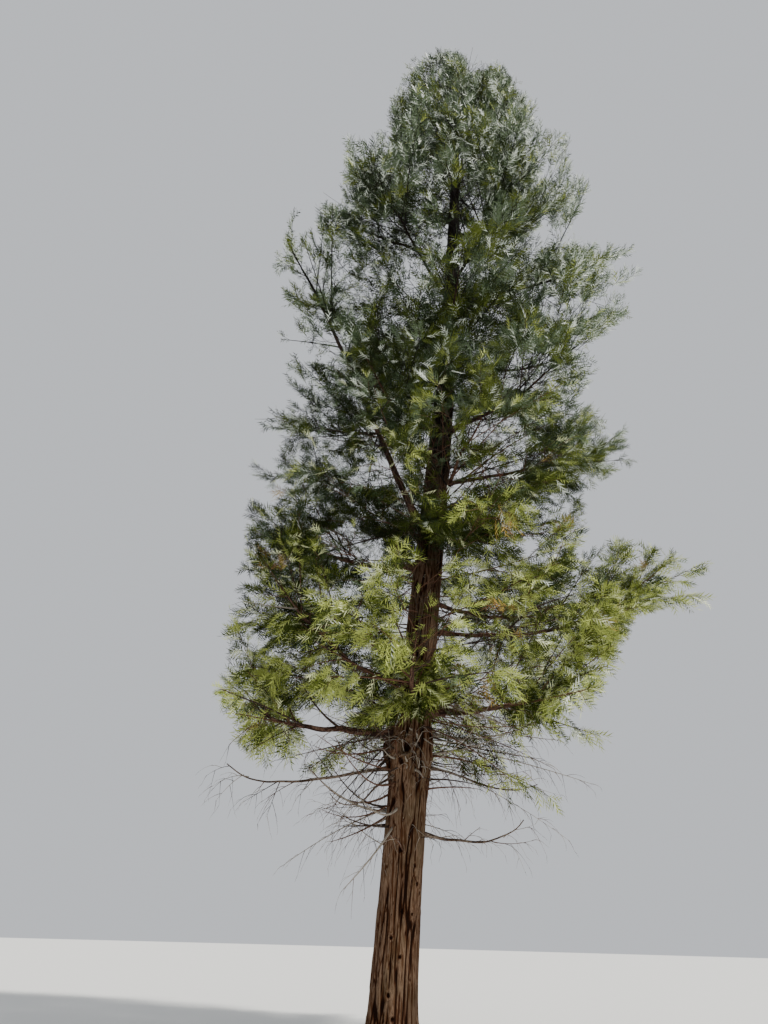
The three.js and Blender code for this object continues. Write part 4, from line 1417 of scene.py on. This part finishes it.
@dataclass
class Foliage:
    """The crown: twigs on every limb, finer twigs on those, and feathery sprays on these.

    The twigs stand where the source's rule puts them, with one more between each two, and thin limbs and
    tufts of their own fill the crown between. All but the tufts stays within the crown's reach and edge.
    """

    stem: Stem
    envelope: Envelope
    limbs: Sequence[Limb]
    twigs_per_mass: int = 7
    leafy_from: float = 0.16
    spread: Pair = (math.radians(58), math.radians(32))
    tilts: Triple = (0.15, 0.8, -0.55)
    twig_radius: float = 0.022
    length_share: float = 0.42
    shortening: float = 0.4
    upturn: float = 0.16
    plate_length: float = 1.1
    side_twigs: Branching = Branching(
        0.24, 0.30, (0.55, 1.35), 0.55, 56, 34, 40, 50, (-0.05, 0.20), (-0.12, 0.22), 0.010, 80
    )
    branchlets: Branching = Branching(
        0.125, 0.12, (0.34, 0.78), 0.5, 52, 30, 26, 34, (-0.08, 0.22), (-0.16, 0.20), 0.006, 81
    )
    sprays: Branching = Branching(
        0.0265, 0.06, (0.20, 0.37), 0.2, 62, 20, 48, 80, (-0.14, 0.28), (-0.24, 0.28), 0.002, 82, 0.84
    )
    thin_limbs: int = 140
    thin_first_heading: float = 57
    thin_crowding: float = 1.1
    thin_seats: Pair = (5.6, 25.5)
    thin_share: Pair = (0.45, 0.92)
    spray: SprayShape = SprayShape()
    inner: Pair = (0.17, 0.44)
    ragged_shoots: float = 0.30
    clump_size: float = 1.1
    clump_share: float = 0.26
    outline: Outline = Outline()
    openings: tuple[Opening, ...] = OPENINGS
    shown_limbs: tuple[tuple[int, float], ...] = (
        (0, 0.97), (1, 0.5), (3, 1.0), (4, 0.58), (5, 0.6), (7, 0.34), (9, 0.45)
    )
    shown_width: Pair = (0.17, 0.1445)
    hiding_share: float = 0.10
    tip_shoots: int = 16
    tip_below: float = 1.9
    tip_span: float = 2.2
    zones: tuple[float, ...] = (6.1, 8.0, 10.3, 13.0, 16.0, 18.6, 21.0)

    def raggedness(self, seed: Number, order: Number, salt: int = 0) -> Array:
        """The share of the crown's reach that each shoot loses."""
        return self.ragged_shoots * chance(seed, order, salt)

    def nearest(self, z: Array) -> Whole:
        """The number of the limb whose seat is nearest to each height."""
        return np.argmin(np.abs(np.array([limb.seat for limb in self.limbs]) - z[:, None]), axis=1)

    def beside(self, limb: Limb, t: Array, hand: Array) -> tuple[Array, Array, Array]:
        """A limb's way at t, its side by hand, and the direction square to both, turned up."""
        along = limb.along(t)
        side = sideways(along) * hand[:, None]
        over = unit(np.cross(along, side))
        return along, side, over * np.where(over[:, 2:] < 0, -1.0, 1.0)

    def twigs_of(self, limb: Limb) -> Shoots:
        """The twigs of one limb by the source's seeded rule, and those between them."""
        order = np.arange(2 * self.twigs_per_mass) / 2
        whole = np.floor(order).astype(int)
        first = max(limb.bare, self.leafy_from)
        share = (order + 0.35) / self.twigs_per_mass
        t = first + (1 - first) * share
        hand = left_and_right(whole) * np.where(order > whole, -1.0, 1.0)
        along, side, over = self.beside(limb, t, hand)
        opening = between(*self.spread, share) + 0.15 * wobble(limb.index, order, 4)
        tilt = np.array(self.tilts)[(whole + limb.index) % 3] + 0.25 * wobble(limb.index, order, 5)
        way = unit(leaning(along, side, over, opening, tilt) + UP * self.upturn)
        length = limb.reach * self.length_share * (1 - self.shortening * share)
        length = length * (0.85 + 0.3 * chance(limb.index, order, 6)) + self.plate_length
        radius = np.minimum(self.twig_radius, 0.55 * limb.radii(t))
        number, ragged = np.full(len(t), limb.index), self.raggedness(limb.index, order, 11)
        return self.bent(Shoots(limb.points(t), way, way, length, radius, over, number, ragged))

    def leader_of(self, limb: Limb) -> Shoots:
        """What goes on from the limb's tip, and short twigs along its leafy wood."""
        first = max(limb.bare, self.leafy_from)
        count = max(4, int(limb.reach * (1 - first) / 0.2))
        order = np.arange(count)
        t = first + (1 - first) * (order + 1) / count
        along, side, over = self.beside(limb, t, left_and_right(order))
        last = order == count - 1
        opening = np.where(last, 0.05, 0.9) * (1 + 0.3 * wobble(limb.index, order, 8))
        way = unit(leaning(along, side, over, opening, 1.3 * wobble(limb.index, order, 9)))
        length = np.where(last, 1.25, between(0.35, 0.9, chance(limb.index, order, 10)))
        radius = np.minimum(0.009, limb.radii(t))
        number, ragged = np.full(count, limb.index), self.raggedness(limb.index, order, 12)
        return self.bent(Shoots(limb.points(t), way, way, length, radius, over, number, ragged))

    def bent(self, shoots: Shoots) -> Shoots:
        """Curls shoots down low in the crown and up high in it, and turns their plates a little."""
        number = shoots.numbers() + 31 * shoots.limb
        curl = between(-0.10, 0.20, ascent(shoots.root[:, 2])) + 0.10 * wobble(number, 91)
        across = unit(np.cross(shoots.way, shoots.face))
        turn = (0.9 * wobble(number, 92))[:, None]
        plate = unit(np.cross(across, shoots.way)) * np.cos(turn) + across * np.sin(turn)
        bend = UP * curl[:, None] + 0.08 * across * wobble(number, 93)[:, None]
        return replace(shoots, bend=bend, face=plate)

    def between_limbs(self) -> Shoots:
        """Thin limbs from the trunk, by the golden angle, which fill the crown between the others."""
        order = np.arange(self.thin_limbs)
        share = ((order + chance(order, 111)) / self.thin_limbs) ** self.thin_crowding
        z = between(*self.thin_seats, share)
        heading = np.radians(self.thin_first_heading + GOLDEN_ANGLE * order)
        rises, slopes = usual_rise(z)
        out = outward(heading)
        slope = slopes + 0.25 * wobble(order, 112)
        way = unit(out + UP * slope[:, None])
        reach = self.envelope.reach(z + 0.5 * self.envelope.reach(z, heading) * rises, heading)
        length = reach * between(*self.thin_share, chance(order, 113))
        curl = np.clip(0.5 * (rises - slope), -0.1, 0.4)
        across = np.cross(UP, out)
        bend = UP * curl[:, None] + across * 0.12 * wobble(order, 114)[:, None]
        radius = between(0.011, 0.022, chance(order, 115)) * np.interp(z, (5, 25), (1, 0.7))
        root, face = self.stem.under_bark(z, heading, 0.7), unit(np.cross(way, across))
        return Shoots(root, way, bend, length, radius, face, self.nearest(z), self.raggedness(order, 117))

    def tufts(self) -> Shoots:
        """The shoots of the tufts on the trunk, and the long thin leafy limbs."""
        groups = []
        for number, tuft in enumerate(TUFTS, 120):
            order = np.arange(tuft.count)
            climb, swing, lift = (wobble(order, number, salt) for salt in (1, 2, 3))
            z = tuft.height + tuft.spread * climb
            heading = np.radians(tuft.heading + tuft.fan * swing)
            out = outward(heading)
            way = unit(out + UP * (0.3 * lift - tuft.droop)[:, None])
            length = between(*tuft.length, chance(order, number, 4))
            root, face = self.stem.under_bark(z, heading, 0.9), unit(np.cross(way, np.cross(UP, out)))
            nearest = self.nearest(tuft.height + 0 * z)
            groups.append(Shoots(root, way, way, length, 0.008 + 0 * z, face, nearest, 0 * z))
        return self.bent(together(groups))

    def tip(self) -> Shoots:
        """The leader's own shoots: steep ones all round the trunk's tip and one that goes straight on."""
        order = np.arange(self.tip_shoots)
        share = order / self.tip_shoots
        z = self.stem.height - self.tip_below + self.tip_span * share
        root = self.stem.centre(np.minimum(z, self.stem.height))
        root[:, 2] = z
        out = outward(math.radians(GOLDEN_ANGLE) * order)
        way = unit(out + UP * between(0.9, 2.4, share)[:, None])
        face = unit(np.cross(way, sideways(way)))
        number, bend = np.full(len(order), len(self.limbs)), 0.15 * UP + 0 * way
        length, radius = between(1.15, 0.45, share), np.full(len(order), 0.007)
        return Shoots(root, way, bend, length, radius, face, number, 0.1 * chance(order, 118))

    def kept(self, shoots: Shoots, least: float, fray: float = 0.05) -> Shoots:
        """The shoots cut to the crown's reach, each a chance share shorter."""
        high = smooth_step(22.0, 25.0, shoots.root[:, 2])
        loss = shoots.ragged * between(1, 0.6, high)
        loss = loss + fray * (1 + high) * chance(shoots.numbers(), 116)
        crown_share, edge_share = (1.12 - loss)[:, None], (1.08 - 0.55 * loss)[:, None]

        def held(points: Array) -> Flags:
            """Inside the crown, its edge as the viewer sees it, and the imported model's box."""
            crown = self.envelope.holds(self.stem, points, crown_share)
            return in_box(points) & crown & self.outline.holds(self.stem, points, edge_share)

        return shoots.cut(held, least)

    def outer(self, shoots: Shoots, salt: int) -> Shoots:
        """The shoots that get light: none near the trunk, and more and more of them further out."""
        depth = self.envelope.depth(self.stem, shoots.point(0.7))
        bar = between(*self.inner, chance(shoots.numbers(), 95, salt))
        return shoots.pick((depth > bar) | (shoots.root[:, 2] > self.stem.height - 3))

    def clumped(self, shoots: Shoots) -> Shoots:
        """Thins shoots where a slow noise through the crown is low, which leaves clumps with gaps between."""
        x, y, z = (shoots.point(0.5) / self.clump_size).T
        rows = around_noise(x + 0.37 * y, z * 1.4, ENDLESS, 45)
        depth = around_noise(y - 0.29 * z, x * 1.1 + 50, ENDLESS, 46)
        thin = smooth_step(0.15, 0.75, -0.5 * (rows + depth) + 0.35)
        return shoots.pick(chance(shoots.numbers(), 94) > self.clump_share * 2 * thin)

    def hides(self, points: Array, off: Array, z: Array) -> Flags:
        """Whether points stand between the viewer and a limb or side branch that shows past the foliage.

        Args:
            points: the points.
            off, z: where they show on the trunk's upright plane.

        Returns:
            True or False for each point.
        """
        hiding = np.zeros(len(off), bool)
        limb_width, fork_width = self.shown_width
        lines = [
            (self.limbs[number].points(np.linspace(0.12, stop, 40)), limb_width)
            for number, stop in self.shown_limbs
        ]
        forks = side_branches(self.limbs).at(np.tile(np.linspace(0, 1, 20), (len(FORKS), 1)))
        for line, width in [*lines, *((fork, fork_width) for fork in forks)]:
            line_off, line_z = self.outline.seen(self.stem, line)
            gap = np.hypot(off[:, None] - line_off, z[:, None] - line_z)
            hiding |= (gap.min(axis=1) < width) & (points[:, 1] < line[gap.argmin(axis=1), 1])
        return hiding

    def opened(self, shoots: Shoots) -> Shoots:
        """Thins the foliage in each opening, and in front of the limbs that show."""
        points = shoots.point(0.6)
        off, z = self.outline.seen(self.stem, points)
        kept = np.where(self.hides(points, off, z), self.hiding_share, 1.0)
        for gap in self.openings:
            inside = gap.holds(off, z) & ((points[:, 1] < 0) | (not gap.near_only))
            kept = np.where(inside, np.minimum(kept, gap.kept), kept)
        return shoots.pick(chance(shoots.numbers(), 103) <= kept)

    def tints(self, sprays: Shoots) -> Whole:
        """Deals a tint to each spray.

        Formula: a score from its height, how far out it is and two chances, its own and one shared by the
        sprays of the same third of a metre, is read on a row of thresholds. The chances give the tone that
        differs at random; the rest is painted light: inner sprays and those left of the trunk are painted
        into shade, and outer, low and right-hand ones, where the sun is, are painted lighter. The
        yellow-green is partly painted sunlight on low and outer sprays, the silvery tint a painted glint on
        high and outer ones, most of all on the right, and the pale tint a painted glint low in the crown.

        Args:
            sprays: the sprays.

        Returns:
            The number of each spray's tint.
        """
        # Of these, shade is painted shade, the silvery and pale tints are painted glints, and the
        # yellow-green is partly painted sunlight.
        shade, olive, leaf, sunlit_fresh, pine, sage, silver_glint, pale, straw, rust = range(len(FoliageTint))
        cells_per_metre, cell_numbers = 3.1, [17.0, 5.0, 1.0]
        number, owner = sprays.numbers(), np.floor(sprays.root * cells_per_metre) @ cell_numbers
        x, y, z = sprays.root.T
        low, lowest = 1 - smooth_step(7.0, 12.8, z), 1 - smooth_step(6.6, 8.8, z)
        high = smooth_step(14.5, 18.0, z)
        # The sunlit right-hand edge of the upper crown, which is painted lighter, cooler and with more
        # glints.
        lit = smooth_step(10.0, 14.0, z) * np.clip((x - 2) / 2.5, 0, 1)
        cool = chance(owner, 104) > 0.48 + 0.42 * low - 0.12 * high - 0.15 * lit
        # Low on the viewer's side the light falls right in, so that nothing counts as deep.
        depth = self.envelope.depth(self.stem, sprays.root)
        depth = np.where((y < -0.3) & (z < 8.5), np.maximum(depth, 0.6), depth)
        shared, own = chance(owner, 96), chance(number, 97)
        # Painted light: sprays are painted lighter towards the sunny right and darker on the left, and
        # painted shade darkens the middle of the crown left of the trunk.
        sunny = np.clip(x / 5, -0.6, 1)
        shaded = smooth_step(6.0, 7.3, z) * (1 - smooth_step(14.0, 17.0, z)) * np.clip(0.35 - x / 2, 0, 1)
        # Painted shade deepens towards the crown's inside, and low sprays are painted lighter.
        score = 0.5 * shared + 0.35 * own + 0.5 * (depth - 0.6) + 0.09 * sunny - 0.17 * shaded + 0.10 * lit
        score = score + 0.07 * low + 0.10 * lowest + 0.03 * high
        # The score picks painted shade, the middle greens, the lighter greens and the partly sunlit
        # yellow-green in turn.
        tints = np.where(cool, pine, olive)
        tints[score < 0.26] = shade
        light = score > 0.50 + 0.05 * low
        tints[light] = np.where(cool, sage, leaf)[light]
        bright = 0.70 - 0.10 * low - 0.03 * lowest
        tints[(score > bright) & (chance(number, 98) < 0.12 + 0.6 * low)] = sunlit_fresh
        # Painted glints, most near the crown's edge and on the sunlit right: silvery high up, pale low down.
        glint = (0.12 + 0.88 * depth**2) * (0.20 - 0.07 * low + 0.12 * lowest + 0.15 * high + 0.38 * lit)
        glints = (own > 0.35) & (chance(number, 99) < glint)
        tints[glints] = np.where(chance(number, 119) < 0.80 * low, pale, silver_glint)[glints]
        dead = (chance(owner, 100) < 0.016 * low + 0.003) & (own < 0.85)
        tints[dead] = np.where(chance(number[dead], 101) < 0.6, straw, rust)
        return tints

    def build(self) -> None:
        """Makes and dresses the twigs and the foliage, in pieces by height."""
        grown = [shoots for limb in self.limbs for shoots in (self.twigs_of(limb), self.leader_of(limb))]
        thin, tufts = self.between_limbs(), self.tufts()
        twigs = self.kept(together([*grown, self.side_twigs.grow(thin), self.tip()]), 0.2)
        branchlets = self.clumped(self.outer(self.kept(self.branchlets.grow(twigs), 0.3, 0.13), 1))
        sprays = self.kept(self.outer(self.sprays.grow(branchlets), 2), 0.6)
        tuft_branchlets = self.branchlets.grow(tufts)
        sprays = self.opened(together([sprays, self.sprays.grow(tuft_branchlets)]))
        tints = self.tints(sprays)
        seats = np.array([limb.seat for limb in self.limbs] + [self.stem.height])
        names = np.array([f"foliage_{i + 1:02d}" for i in range(len(self.limbs))] + ["foliage_tip"])
        zone = np.searchsorted(self.zones, seats)
        finishes = [tint.material() for tint in FoliageTint]
        for number in range(len(self.zones) + 1):
            mine = zone[sprays.limb] == number
            surface = self.spray.surface(sprays.pick(mine), tints[mine])
            replaced = names[zone == number].tolist()
            piece_from(f"sprays_{number + 1}", surface, finishes, replaced, smooth=False)
        self.build_twigs(together([thin, twigs, tufts]), together([branchlets, tuft_branchlets]))

    def build_twigs(self, twigs: Shoots, branchlets: Shoots) -> None:
        """Makes and dresses the twigs and the branchlets, each kind apart."""
        finishes = [tint.material() for tint in (TwigTint.RED, TwigTint.DARK, TwigTint.BLACK)]
        for name, group, stations, sides in (("twigs", twigs, 8, 4), ("branchlets", branchlets, 3, 3)):
            # Painted shade of the crown: the higher the twigs, the more of them are dealt the dark and
            # near-black tints.
            high = smooth_step(8.0, 15.0, group.root[:, 2])
            dealt = np.digitize(chance(group.numbers(), 102) + 1.1 * high, [0.5, 1.0])
            piece_from(name, group.tubes(stations, sides, 0.3, dealt), finishes)


@dataclass(frozen=True)
class Studio:
    """The floor, the light and the camera at the photograph's viewing angle."""

    camera_place: Triple = Outline.eye
    pitch: float = math.radians(29.3)
    tilt: float = math.radians(1.545)
    lens: float = 27.035
    sensor: float = 36.0
    floor_radius: float = 400.0
    floor_corners: int = 96
    sun_from: Triple = (0.75, -0.62, 1.35)
    sun_strength: float = 5.4
    sky_strength: float = 0.72

    def build(self) -> None:
        """Makes all three."""
        self.build_floor()
        self.build_light()
        self.build_camera()

    def build_floor(self) -> None:
        """A plain pale disc, of corners on one circle."""
        rim = self.floor_radius * outward(2 * np.pi * np.arange(self.floor_corners) / self.floor_corners)
        mesh = bpy.data.meshes.new("floor")
        mesh.from_pydata(rim.tolist(), [], [list(range(self.floor_corners))])
        mesh.materials.append(Board("floor_pale_glint").dress(Base_Color=(0.70, 0.70, 0.68), Roughness=0.9))
        floor = bpy.data.objects.new("floor", mesh)
        bpy.context.scene.collection.objects.link(floor)

    def build_light(self) -> None:
        """A pale sky all round and a soft sun from high on the right."""
        world = bpy.data.worlds.new("sky")
        world.use_nodes = True
        background = next(n for n in world.node_tree.nodes if n.type == "BACKGROUND")
        background.inputs["Color"].default_value = (0.92, 0.95, 1.0, 1)
        background.inputs["Strength"].default_value = self.sky_strength
        bpy.context.scene.world = world
        lamp = bpy.data.lights.new("sun", "SUN")
        lamp.energy, lamp.angle, lamp.color = self.sun_strength, math.radians(4), (1.0, 0.965, 0.90)
        sun = bpy.data.objects.new("sun", lamp)
        sun.rotation_euler = Vector(self.sun_from).to_track_quat("Z", "Y").to_euler()
        bpy.context.scene.collection.objects.link(sun)

    def build_camera(self) -> None:
        """Looks up at the tree, turned a little about its own axis."""
        lens = bpy.data.cameras.new("camera")
        lens.sensor_fit, lens.sensor_height, lens.lens = "VERTICAL", self.sensor, self.lens
        lens.clip_start, lens.clip_end = 0.1, 2000
        camera = bpy.data.objects.new("camera", lens)
        ahead = Vector((0, math.cos(self.pitch), math.sin(self.pitch)))
        level, upright = Vector((1, 0, 0)), Vector((0, -math.sin(self.pitch), math.cos(self.pitch)))
        right = level * math.cos(self.tilt) + upright * math.sin(self.tilt)
        top = upright * math.cos(self.tilt) - level * math.sin(self.tilt)
        turn = Matrix((right, top, -ahead)).transposed().to_4x4()
        camera.matrix_world = Matrix.Translation(self.camera_place) @ turn
        bpy.context.scene.collection.objects.link(camera)
        bpy.context.scene.camera = camera


def main() -> None:
    """Builds the tree from its foot up, then the studio."""
    logging.basicConfig(level=logging.INFO, format="%(name)s: %(message)s")
    stem, envelope = Stem(), Envelope()
    limbs = all_limbs(stem, envelope)
    Trunk(stem).build()
    Wood(stem, limbs).build()
    DeadTwigs(stem, limbs).build()
    Foliage(stem, envelope, limbs).build()
    Studio().build()


if __name__ == "__main__":
    main()
